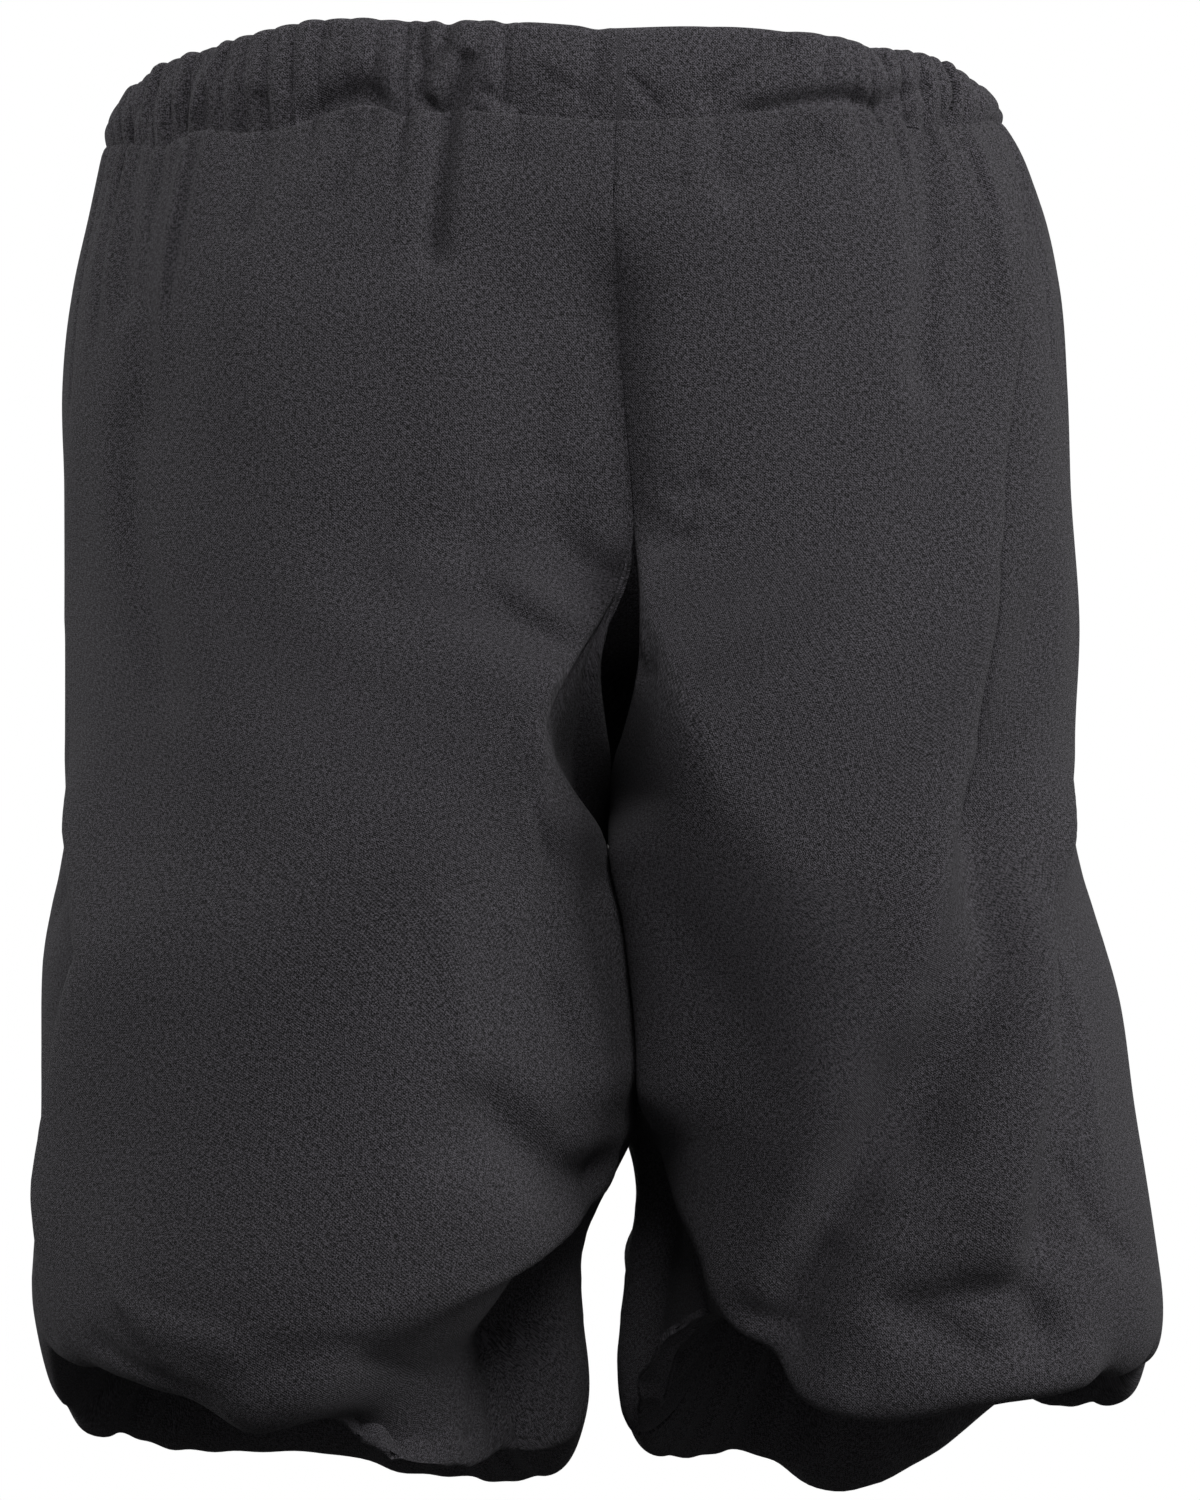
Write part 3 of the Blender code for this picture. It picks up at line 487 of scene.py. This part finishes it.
def curve_at(known, values, at):
    """A smooth curve through the known values: a cubic with the slope of its neighbours at each."""
    known, values = np.asarray(known, float), np.asarray(values, float)
    slope = np.gradient(values, known)
    i = np.clip(np.searchsorted(known, at) - 1, 0, len(known) - 2)
    span = known[i + 1] - known[i]
    u = np.clip((at - known[i]) / span, 0, 1)
    return (
        (1 + 2 * u) * (1 - u) ** 2 * values[i]
        + u * (1 - u) ** 2 * span * slope[i]
        + u * u * (3 - 2 * u) * values[i + 1]
        + u * u * (u - 1) * span * slope[i + 1]
    )


def size_at(levels, column, z):
    """One column of a table of levels, at height z."""
    return curve_at(levels["z"], levels[column], z)


def ease(low, high, at):
    """0 at low and 1 at high, with a smooth start and end."""
    u = np.clip((at - low) / (high - low), 0, 1)
    return u * u * (3 - 2 * u)


def rounded(x):
    """A sine or cosine made squarer, as a superellipse is."""
    return np.sign(x) * np.abs(x) ** ROUNDNESS


def section(leg, share, z):
    """The plain form: a point on one half of the garment at height z, that share of the way from the
    centre front or inseam, round the side at a half, to the centre back or inseam.

    It is an oval, made squarer, and its angle is 0 straight ahead, a quarter turn at the side and a
    half turn behind. Near the waist the half runs from straight ahead to straight behind. Below the
    crotch it is a whole oval round the leg, which starts and ends at its inner side. Between them
    both ends turn inwards, by an angle that grows by smooth powers of the depth in the groove
    between the legs, and so the centre seam sinks into it."""
    sizes = LEGS[leg]
    outer, inner = size_at(sizes, "outer", z), size_at(sizes, "inner", z)
    middle = size_at(sizes, "middle", z)
    in_front = share < 0.5
    groove_top = np.where(in_front, GROOVE_TOP_FRONT, GROOVE_TOP_BACK)
    sunk = np.clip((z - groove_top) / (CROTCH_Z - groove_top), 0, 1)
    past = math.pi / 2 * (1 - (1 - sunk) ** 1.5) ** 2
    is_leg = ease(groove_top, ROUND_LEG_Z, z)
    from_side = (2 * share - 1) * (math.pi / 2 + past)
    seam = np.where(in_front, size_at(HIPS, "front_seam", z), size_at(HIPS, "back_seam", z))
    seam = seam + (inner - seam) * ease(CROTCH_Z, ROUND_LEG_Z, z)
    centre = seam + ((inner + outer) / 2 - seam) * is_leg
    towards_side = rounded(np.cos(from_side))
    inwards = rounded(np.cos(from_side) / np.maximum(np.sin(past), STEP))
    x = np.where(np.abs(from_side) < math.pi / 2, centre + (outer - centre) * towards_side,
                 centre + (centre - seam) * inwards)
    front = size_at(HIPS, "front", z) * (1 - is_leg) + size_at(sizes, "front", z) * is_leg
    back = size_at(HIPS, "back", z) * (1 - is_leg) + size_at(sizes, "back", z) * is_leg
    depth = np.where(in_front, front + middle, back - middle)
    y = middle + depth * rounded(np.sin(from_side))
    return x + pressed(y, z) * ease(0.16, 0.06, np.minimum(share, 1 - share)), y


def pressed(y, z):
    """How the legs' inner faces, pressed together, curve: over to the left in front, back behind."""
    press = ease(CROTCH_Z + 8 * MM, CROTCH_Z - 14 * MM, z) * ease(-440 * MM, -395 * MM, z) * PRESS
    return -press * np.sin(math.pi * np.clip(y / PRESS_DEPTH, -1, 1))


def hanging_z(leg, share, fall):
    """Height of the hanging cloth: fall is 0 at the waist seam and 1 where it starts to turn under."""
    top, low = waist_seam_z(leg, share), turn_z(leg, share)
    return top + (low - top) * fall


def waist_seam_z(leg, share):
    """Height of the seam between the waistband and a leg."""
    seam = WAIST_SEAMS[leg]
    return curve_at(seam["share"], seam["high"], share) * MM


def rim_z(leg, share):
    """Height of the lowest point of the blousing cloth."""
    rim = RIMS[leg]
    return -curve_at(rim["share"], rim["low"], share) * MM


def turn_z(leg, share):
    return rim_z(leg, share) + TURN_HEIGHT


def knee_centre(leg):
    """The middle of a leg's narrow end."""
    sizes = LEGS[leg]
    x = (size_at(sizes, "outer", KNEE_Z) + size_at(sizes, "inner", KNEE_Z)) / 2
    y = (size_at(sizes, "back", KNEE_Z) - size_at(sizes, "front", KNEE_Z)) / 2
    return float(x), float(y)


def knee_ring(leg, share, radius):
    """A point of a ring round a leg's narrow end, from the inseam forwards, as section runs."""
    x, y = knee_centre(leg)
    turn = 2 * math.pi * share
    return x - SIDES[leg] * radius * np.cos(turn), y - radius * np.sin(turn)


def chart_z(leg, share, run):
    """Height on the cloth as if it hung straight on past the place where it turns under."""
    tuck = np.clip(run - 1, 0, 1)
    return hanging_z(leg, share, np.clip(run, 0, 1)) - 2 * TURN_HEIGHT * tuck


def plain_cloth(leg, share, run):
    """The plain form of a leg. run is 0 at the waist seam, 1 where the cloth starts to turn under,
    and 2 at the hem casing: that last part is a cubic curve, straight down, round and up again."""
    tuck = np.clip(run - 1, 0, 1)[..., None]
    z = hanging_z(leg, share, np.clip(run, 0, 1))
    start = np.stack([*section(leg, share, z), z], -1)
    above = np.stack([*section(leg, share, z + STEP), z + STEP], -1)
    leaving = start + (start - above) / STEP * (4 / 3) * TURN_HEIGHT
    knee_x, knee_y = knee_ring(leg, share, KNEE_RADIUS)
    end = np.stack([knee_x, knee_y, np.full_like(z, KNEE_Z)], -1)
    arriving = end + (start - end) * BLOUSE
    arriving[..., 2] = KNEE_Z - (4 / 3) * (KNEE_Z - rim_z(leg, share))
    return (
        start * (1 - tuck) ** 3
        + leaving * 3 * tuck * (1 - tuck) ** 2
        + arriving * 3 * tuck**2 * (1 - tuck)
        + end * tuck**3
    )


def from_path(path, share, z):
    """How far points lie in front of (below zero) or behind a path, and the share of its length."""
    points = np.array(path) * (LEG_GIRTH, MM)
    spans = np.diff(points, axis=0)
    lengths = np.hypot(*spans.T)
    run_so_far = np.concatenate([[0], np.cumsum(lengths)])
    x = share * LEG_GIRTH
    nearest, side, along = np.full(x.shape, np.inf), np.zeros(x.shape), np.zeros(x.shape)
    for point, span, length, before in zip(points, spans, lengths, run_so_far):
        dx, dz = x - point[0], z - point[1]
        u = np.clip((dx * span[0] + dz * span[1]) / length**2, 0, 1)
        away = np.hypot(dx - u * span[0], dz - u * span[1])
        closer = away < nearest
        nearest = np.where(closer, away, nearest)
        side = np.where(closer, np.sign(span[0] * dz - span[1] * dx), side)
        along = np.where(closer, (before + u * length) / run_so_far[-1], along)
    return nearest * side, along


def folds(leg, share, z, rows, tightness, centre_fade=0.03):
    """How far the given folds of a leg stand out of its plain form: a bell curve across each path,
    for a step a smooth change from one level to the other, and for cloth tucked under a level that
    falls off behind the path as an exponential does, both tighter by the given factor. They fade
    out at the ends of their paths and at the centre seams."""
    total = np.zeros(np.broadcast(share, z).shape)
    for fold_leg, kind, width, height, *path in rows:
        if fold_leg != leg:
            continue
        away, along = from_path(path, share, z)
        away = away / (width * MM)
        if kind == "step":
            shape = -np.tanh(away * tightness) * np.exp(-((away / 4) ** 2))
        elif kind == "under":
            shape = np.exp(-(away + np.hypot(away, 0.3)) * tightness / 2) - 1
        else:
            shape = np.exp(-away * away) * (1 if kind == "ridge" else -1)
        total = total + height * MM * shape * ease(0, 0.18, along) * ease(1, 0.82, along)
    return total * ease(0, centre_fade, share) * ease(1, 1 - centre_fade, share)


def uneven(index):
    """A number from 0 to 1 that looks random but is the same each time: the fractional part of a
    large multiple of a sine."""
    return np.abs(np.sin(index * 12.9898 + 4.1) * 43758.5453) % 1


def seam_marks(leg, share, z):
    """The cloth dips at each seam and is a little puckered beside it: a narrow bell curve, and a
    wave along the seam that dies away from it. The centre seams also lie at the bottom of a valley,
    whose bank is a bell curve on the right half and falls off as an exponential on the left."""
    to_seam = np.minimum(np.minimum(share, 1 - share), np.abs(share - 0.5))
    sideways = np.abs(share - 0.5) < 0.25
    distance = 0.2 * (math.pi * to_seam) ** 0.8
    shown = np.where(sideways, 1, ease(-230 * MM, -170 * MM, z))
    dip = -SEAM_DIP * np.exp(-((distance / SEAM_DIP_WIDTH) ** 2)) * shown
    wave = np.sin(2 * math.pi * z / (13 * MM) + 2.1 * np.sin(z / (31 * MM)))
    bank = np.exp(-((distance / RIGHT_BANK) ** 2)) if leg == "right" else np.exp(-distance / LEFT_BANK)
    valley = ease(-50 * MM, -95 * MM, z) * ease(-262 * MM, -222 * MM, z) * bank
    dip = dip - CENTRE_VALLEY * valley * np.where(sideways, 0, 1)
    return dip + SEAM_PUCKER * wave * np.exp(-distance / (6 * MM)) * ease(0, 2 * MM, distance)


def waist_puckers(leg, share, below_seam):
    """Each gather of the waistband goes on below it as a groove, of its own depth and length."""
    gathers = GATHERS[leg]
    count = np.interp(share, gathers["share"], gathers["count"])
    index = np.round(count)
    groove = np.exp(-(((count - index) / 0.17) ** 2))
    depth = (0.7 + 2.2 * uneven(index)) * MM * ease(0, 0.05, share) * ease(1, 0.95, share)
    reach = (9 + 26 * uneven(index + 0.5)) * MM
    return -groove * depth * np.exp(-below_seam / reach)


def tucked_hem(leg, share, z):
    """How far the right front is drawn in below its diagonal fold, where the cloth is turned
    downwards: it grows smoothly with the depth below the fold."""
    if leg == "left":
        return np.zeros(np.broadcast(share, z).shape)
    fold = curve_at(HEM_FOLD["share"], HEM_FOLD["high"], share) * MM
    return HEM_TUCK * ease(0, -HEM_TUCK_FALL, z - fold) * ease(0, 0.07, share) * ease(0.32, 0.24, share)


def slack(leg, share, z):
    """Soft unevenness all over: four long waves of different slopes and lengths."""
    lean = 1.0 if leg == "right" else -1.0
    waves = (
        np.sin(2 * math.pi * (4 * share + z / 0.33) + 0.6)
        + 0.8 * np.sin(2 * math.pi * (7 * share - lean * z / 0.24) + 2.2)
        + 0.6 * np.sin(2 * math.pi * (11 * share + lean * z / 0.15) + 4.0)
        + 0.4 * np.sin(2 * math.pi * (3 * share - z / 0.11) + 5.1)
    )
    return 0.55 * MM * waves * ease(0, 0.04, share) * ease(1, 0.96, share)


def parting(share, z):
    """Where the two halves meet, from side to side."""
    front = size_at(HIPS, "front_seam", z)
    return front + (size_at(HIPS, "back_seam", z) - front) * (1 - np.cos(math.pi * share)) / 2


def outward(surface, leg, share, run):
    """The unit normal of a surface of share and run, pointing out of the garment."""
    across = surface(leg, np.clip(share + STEP, 0, 1), run) - surface(leg, np.clip(share - STEP, 0, 1), run)
    down = surface(leg, share, np.clip(run + STEP, 0, 2)) - surface(leg, share, np.clip(run - STEP, 0, 2))
    normal = -SIDES[leg] * np.cross(across, down)
    return normal / np.linalg.norm(normal, axis=-1, keepdims=True)


def cloth(leg, share, run):
    """The outer face of a leg: its plain form moved out or in by the folds, creases, seams and
    gathers, drawn towards the knee at the hem, and kept on its own side of the line that parts the
    legs."""
    tuck = np.clip(run - 1, 0, 1)
    z = chart_z(leg, share, run)
    below_seam = waist_seam_z(leg, share) - hanging_z(leg, share, np.clip(run, 0, 1))
    hanging = ease(1, 0.5, tuck)
    stands_out = folds(leg, share, z, FOLDS, 1.7) * hanging + folds(leg, share, z, CREASES, 1.0) * hanging
    stands_out = stands_out + seam_marks(leg, share, z) + slack(leg, share, z)
    stands_out = stands_out + waist_puckers(leg, share, below_seam)
    stands_out = stands_out - TOP_EDGE * np.exp(-below_seam / TOP_EDGE)
    around = 2 * math.pi * share
    lobes = 0.6 * np.sin(8 * around + 1.1 * np.sin(3 * around))
    lobes = lobes + 0.5 * np.sin(13 * around + 0.9 * np.sin(2 * around))
    stands_out = stands_out + lobes * KNEE_LOBE_DEPTH * ease(0.05, 0.55, tuck) * ease(1, 0.75, tuck)
    gathers = np.cos(KNEE_GATHERS * around) * (1 + 0.45 * np.sin(5 * around + 0.7))
    stands_out = stands_out + gathers * KNEE_GATHER_DEPTH * ease(0.25, 1, tuck)
    points = plain_cloth(leg, share, run)
    points = points + outward(plain_cloth, leg, share, run) * stands_out[..., None]
    inwards = np.stack(knee_ring(leg, share, KNEE_RADIUS), -1) - points[..., :2]
    inwards = inwards / np.maximum(np.linalg.norm(inwards, axis=-1, keepdims=True), MM)
    drawn = tucked_hem(leg, share, z) * ease(1, 0.2, tuck)
    points[..., :2] = points[..., :2] + inwards * drawn[..., None]
    z = points[..., 2]
    space = SEWN_GAP + (LEG_SPACE - SEWN_GAP) * ease(CROTCH_Z - 14 * MM, CROTCH_Z - 50 * MM, z)
    limit = parting(share, z) + pressed(points[..., 1], z) + SIDES[leg] * space / 2
    clear = np.minimum if leg == "right" else np.maximum
    points[..., 0] = clear(points[..., 0], limit)
    return points


def wall_normals(points, outwards):
    """Unit normals of a grid of points, from the steps along it both ways."""
    normal = outwards * np.cross(np.gradient(points, axis=1), np.gradient(points, axis=0))
    return normal / np.maximum(np.linalg.norm(normal, axis=-1, keepdims=True), 1e-12)


def grain(points):
    """Distances across the cloth from its middle column and down it from its top row."""
    across = np.linalg.norm(np.diff(points, axis=1), axis=-1)
    down = np.linalg.norm(np.diff(points, axis=0), axis=-1)
    across = np.concatenate([np.zeros((len(points), 1)), np.cumsum(across, axis=1)], axis=1)
    down = np.concatenate([np.zeros((1, points.shape[1])), np.cumsum(down, axis=0)], axis=0)
    return np.stack([across - across[:, [points.shape[1] // 2]], down], -1)


def sew(node, points, uv, faces, material):
    """One finished piece, in place of its plain solid, from its points, their places on the grain
    and its faces."""
    name = f"{node}_cloth"
    mesh = bpy.data.meshes.new(name)
    mesh.from_pydata(points.tolist(), [], faces.tolist())
    layer = mesh.uv_layers.new(name="grain")
    corners = np.empty(len(mesh.loops), np.int32)
    mesh.loops.foreach_get("vertex_index", corners)
    layer.data.foreach_set("uv", uv[corners].astype(np.float32).ravel())
    mesh.shade_smooth()
    mesh.set_sharp_from_angle(angle=math.radians(60))
    mesh.materials.append(material)
    piece = bpy.data.objects.new(name, mesh)
    bpy.context.scene.collection.objects.link(piece)
    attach(piece, "root")
    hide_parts(node)
    return piece


def wall_faces(rows, columns, inside_out):
    """Faces of a closed wall between two grids of rows by columns points: both sides and the rim."""
    index = np.arange(rows * columns).reshape(rows, columns)
    lower = index + rows * columns
    faces = [
        np.stack([index[:-1, :-1], index[1:, :-1], index[1:, 1:], index[:-1, 1:]], -1).reshape(-1, 4),
        np.stack([lower[:-1, :-1], lower[:-1, 1:], lower[1:, 1:], lower[1:, :-1]], -1).reshape(-1, 4),
    ]
    for edge, under in ((index[0], lower[0]), (index[-1, ::-1], lower[-1, ::-1]),
                        (index[::-1, 0], lower[::-1, 0]), (index[:, -1], lower[:, -1])):
        faces.append(np.stack([edge[:-1], edge[1:], under[1:], under[:-1]], -1))
    faces = np.concatenate(faces)
    return faces[:, ::-1] if inside_out else faces


def leg_panel(name, leg, first, last, material):
    """A front or a back: shares packed closer at its two seams, rows evenly down it."""
    t = np.linspace(0, 1, PANEL_COLUMNS)
    shares = first + (last - first) * t**1.5 / (t**1.5 + (1 - t) ** 1.5)
    shares[0] += SEAM_SHARE
    shares[-1] -= SEAM_SHARE
    down_leg = np.linspace(0, 1, HANG_ROWS)
    runs = np.concatenate([[0, 0.001, 0.0025], down_leg[1:], np.linspace(1, 2, TURN_ROWS)[1:]])
    share, run = np.meshgrid(shares, runs)
    outer = cloth(leg, share, run)
    inner = outer - wall_normals(outer, -SIDES[leg]) * CLOTH
    for face in (outer, inner):
        face[0, :, 2] = waist_seam_z(leg, shares)
        face[-1, :, 2] = KNEE_Z
    points = np.concatenate([outer.reshape(-1, 3), inner.reshape(-1, 3)])
    uv = np.concatenate([grain(outer).reshape(-1, 2)] * 2)
    piece = sew(name, points, uv, wall_faces(*share.shape, leg == "right"), material)
    return piece


fine = 1
PANEL_COLUMNS = int(150 * fine)
HANG_ROWS = int(170 * fine)
TURN_ROWS = int(50 * fine)
charcoal_cloth = woven_cloth("charcoal_cloth", (0.040, 0.0375, 0.043))
leg_panel("right_leg_front", "right", 0, 0.5, charcoal_cloth)
leg_panel("right_leg_back", "right", 0.5, 1, charcoal_cloth)
leg_panel("left_leg_front", "left", 0, 0.5, charcoal_cloth)
leg_panel("left_leg_back", "left", 0.5, 1, charcoal_cloth)


# The waistband: one strip of the same cloth folded over a flat elastic, which draws it up into
# gathers all the way round. They are close at the sides and few at the centre front, and lean.
# Its cloth, which the hem casings share, is the legs' charcoal painted a little lighter: painted
# light, for the light from above that the band catches as it leans back.
BAND_WALL = 4 * MM
BAND_BULGE = 2.5 * MM
GATHER_LEAN = 0.006
BAND_TUCK = 0.09
RIGHT_BAND = {"share": (0, 0.022, 0.075, 0.105, 0.148, 0.185, 0.229, 0.28, 0.32, 0.355, 0.5, 0.75, 1),
              "top": (16.3, 17.8, 20, 20.4, 21.5, 19.7, 16.2, 12.3, 9.8, 6.5, 2, 14, 14),
              "lean": (1, 1, 1, 1, 1, 1, 2, 3, 3, 4, 6, 3, 1),
              "deep": (0.8, 1, 2.5, 3.4, 2.5, 2.5, 2.8, 3, 3, 3, 3, 2.5, 2.5)}
LEFT_BAND = {"share": (0, 0.05, 0.114, 0.15, 0.188, 0.225, 0.264, 0.3, 0.33, 0.5, 0.75, 1),
             "top": (16.3, 17, 15.9, 15.5, 12.5, 11.6, 10.5, 9, 7.5, 4, 14, 14),
             "lean": (1, 1, 1, 1, 1, 2, 2, 3, 4, 6, 3, 1),
             "deep": (0.8, 0.8, 0.8, 1.5, 2.3, 3, 3, 3, 3, 3, 2.5, 2.5)}
BANDS = {"right": RIGHT_BAND, "left": LEFT_BAND}

# Creases of the band, in the same form as the folds, with heights above its seam in place of z.
BAND_CREASES = (
    ("right", "ridge", 3.0, 1.8, (0.275, 4), (0.267, 9), (0.259, 18), (0.243, 30), (0.238, 38)),
    ("right", "trough", 3.5, 1.6, (0.285, -2), (0.281, 8), (0.272, 20), (0.262, 34)),
    ("right", "trough", 4.0, 1.4, (0.290, -4), (0.292, 3), (0.304, 22), (0.308, 32)),
    ("right", "trough", 3.5, 1.4, (0.332, -3), (0.334, 2), (0.323, 18), (0.318, 28)),
    ("right", "trough", 3.5, 1.8, (0.37, -3), (0.367, 2), (0.348, 16), (0.34, 26)),
    ("right", "trough", 3.0, 1.8, (0.198, -5), (0.198, 0), (0.200, 9), (0.203, 17)),
    ("right", "trough", 7.0, 1.8, (0.224, -4), (0.214, 6), (0.205, 16)),
    ("right", "trough", 7.0, 1.2, (0.182, 10), (0.164, 23), (0.150, 36)),
    ("right", "trough", 5.0, 4.0, (0.18, 1), (0.15, 4), (0.125, 5), (0.105, 0)),
    ("right", "trough", 2.5, 1.6, (0.108, 6), (0.104, 14), (0.102, 19), (0.1, 40)),
    ("right", "trough", 2.8, 3.8, (0.083, -6), (0.085, 2), (0.091, 8), (0.091, 26), (0.089, 40)),
    ("right", "trough", 3.5, 3.0, (0.088, 12), (0.083, 20), (0.076, 25), (0.075, 42)),
    ("right", "trough", 3.8, 4.5, (0.080, -6), (0.077, 0), (0.070, 9), (0.066, 18), (0.062, 24)),
    ("right", "ridge", 3.0, 1.2, (0.084, 4), (0.079, 12), (0.074, 19)),
    ("right", "trough", 2.5, 1.8, (0.047, 2), (0.045, 10), (0.045, 30), (0.044, 42)),
    ("right", "trough", 2.5, 1.6, (0.058, 9), (0.053, 7), (0.047, 4), (0.042, 3)),
    ("right", "trough", 8.0, 1.4, (0.045, 0), (0.037, 5), (0.026, 12), (0.018, 18)),
    ("right", "trough", 2.6, 1.6, (0.013, 2), (0.009, 10), (0.0055, 20), (0.005, 42)),
    ("left", "trough", 2.5, 1.2, (0.004, 18), (0.007, 14), (0.015, 7), (0.018, 3)),
    ("left", "trough", 4.0, 2.6, (0.036, 3), (0.044, 6), (0.062, 13), (0.086, 20), (0.103, 24), (0.118, 28)),
    ("left", "trough", 4.0, 4.0, (0.055, -1), (0.072, 0), (0.116, 2), (0.168, 3), (0.20, 0)),
    ("left", "trough", 4.0, 3.0, (0.18, -3), (0.19, 1), (0.214, 8), (0.244, 14), (0.255, 18)),
    ("left", "trough", 3.2, 2.0, (0.183, 36), (0.189, 27), (0.198, 20), (0.203, 15)),
    ("left", "trough", 3.5, 3.4, (0.272, -4), (0.279, 2), (0.289, 13), (0.279, 27), (0.27, 36)),
    ("left", "trough", 3.0, 2.4, (0.313, -4), (0.312, 2), (0.309, 20), (0.30, 32)),
    ("left", "trough", 3.0, 2.0, (0.355, -4), (0.352, 6), (0.35, 18), (0.345, 30)),
    ("left", "trough", 5.0, 1.2, (0.135, 8), (0.144, 18), (0.150, 34)),
    ("left", "trough", 4.0, 1.3, (0.235, 14), (0.226, 24), (0.222, 34)),
)


def waistband(leg, share, high, inwards):
    """Up the band from its seam (high 0) to its top fold (high 1), and through its wall. Each gather
    is a pillow: a sine raised to a small power, between narrow valleys, of its own height and lean.
    The creases that show in front are laid over them, and lower the top fold where they cross it."""
    band, gathers = BANDS[leg], GATHERS[leg]
    count = np.interp(share, gathers["share"], gathers["count"])
    index = np.floor(count)
    share = np.clip(share - GATHER_LEAN * high * np.sin(math.pi * share), 0, 1)
    seam = waist_seam_z(leg, share)
    top = curve_at(band["share"], band["top"], share) * MM
    lean = curve_at(band["share"], band["lean"], share) * MM
    deep = curve_at(band["share"], band["deep"], share) * MM * (0.30 + 0.5 * ease(0.33, 0.6, share))
    x, y = section(leg, share, seam)
    (x1, y1), (x0, y0) = (section(leg, np.clip(share + s, 0, 1), seam) for s in (STEP, -STEP))
    out_x, out_y = SIDES[leg] * (y1 - y0), -SIDES[leg] * (x1 - x0)
    length = np.hypot(out_x, out_y)
    pillow = np.abs(np.sin(math.pi * count)) ** 0.7 * (0.55 + 0.9 * uneven(index))
    fade = 1 - 0.7 * uneven(index + 0.3) * ease(0.35, 1, high) - 0.6 * uneven(index + 0.7) * ease(0.7, 0, high)
    wave = 2 * pillow * fade - 1
    creases = folds(leg, share, (top - seam) * high, BAND_CREASES, 1.0, centre_fade=0.004)
    out = BAND_BULGE * np.sin(math.pi * np.clip(high, 0, 1)) - lean * np.maximum(high, 0) ** 1.5
    out = out + deep * wave + creases - SHOULDER - inwards
    z = seam + (top - seam) * high + (deep * 0.5 * (wave - 0.2) + creases * 0.45) * np.maximum(high, 0) ** 3
    return np.stack([x + out_x / length * out, y + out_y / length * out, z], -1)


def ring_faces(columns, points):
    """Faces of a closed ring of columns, each a closed loop of points."""
    index = np.arange(columns * points).reshape(columns, points)
    along, around = np.roll(index, -1, 0), np.roll(index, -1, 1)
    return np.stack([index, around, np.roll(along, -1, 1), along], -1).reshape(-1, 4)


BAND_ROWS = int(34 * fine)
BAND_COLUMNS = int(720 * fine)
band_up = np.linspace(-BAND_TUCK, 1, BAND_ROWS)
band_round = BAND_WALL / 2 * (1 - np.sqrt(1 - np.clip((band_up - 0.9) / 0.1, 0, 1) ** 2))
band_high = np.concatenate([band_up, band_up[-2::-1]])
band_in = np.concatenate([band_round, BAND_WALL - band_round[-2::-1]])
halves = []
for leg in ("right", "left"):
    even = np.linspace(0, 1, BAND_COLUMNS)
    share = even + 0.01 * np.sin(2 * math.pi * even)
    halves.append(waistband(leg, share[:, None], band_high[None, :], band_in[None, :]))
band_points = np.concatenate([halves[0][:-1], halves[1][:0:-1]])
band_uv = grain(band_points.transpose(1, 0, 2)).transpose(1, 0, 2)
band_uv[..., 0] = band_uv[:, :1, 0]
# Painted light: the legs' charcoal made about 15% lighter, standing in for the light from above on the band.
band_cloth_painted_light = woven_cloth("band_cloth_painted_light", (0.047, 0.044, 0.0505))
waistband_piece = sew("waistband", band_points.reshape(-1, 3), band_uv.reshape(-1, 2),
                      ring_faces(*band_points.shape[:2]), band_cloth_painted_light)


# The two hem casings: each a strip folded over a narrower elastic, gathered into a ring inside the
# leg. The leg's cloth turns up to its lower edge, so only a look up the leg shows it.
CASING_HEIGHT = 22 * MM


def hem_casing(leg, share, high, inwards):
    """A ring round the narrow end of the leg, waved by the gathers, from its seam up to its fold."""
    wave = np.cos(2 * math.pi * KNEE_GATHERS * share) * (1 + 0.45 * np.sin(10 * math.pi * share + 0.7))
    radius = KNEE_RADIUS - 1 * MM + inwards - wave * KNEE_GATHER_DEPTH - 0.6 * MM * np.sin(math.pi * high)
    x, y = knee_ring(leg, share, radius)
    return np.stack([x, y, KNEE_Z + SEAM_GAP + CASING_HEIGHT * high + 0 * x], -1)


casing_up = np.linspace(0, 1, 8)
for leg in ("right", "left"):
    share = np.arange(KNEE_GATHERS * 10) / (KNEE_GATHERS * 10)
    high = np.concatenate([casing_up, casing_up[::-1]])
    inwards = np.concatenate([0 * casing_up, 0 * casing_up + BAND_WALL])
    casing = hem_casing(leg, share[:, None], high[None, :], inwards[None, :])
    casing_uv = grain(casing.transpose(1, 0, 2)).transpose(1, 0, 2)
    faces = ring_faces(*casing.shape[:2])
    piece = sew(f"{leg}_hem_casing", casing.reshape(-1, 3), casing_uv.reshape(-1, 2),
                faces[:, ::-1] if leg == "right" else faces, band_cloth_painted_light)
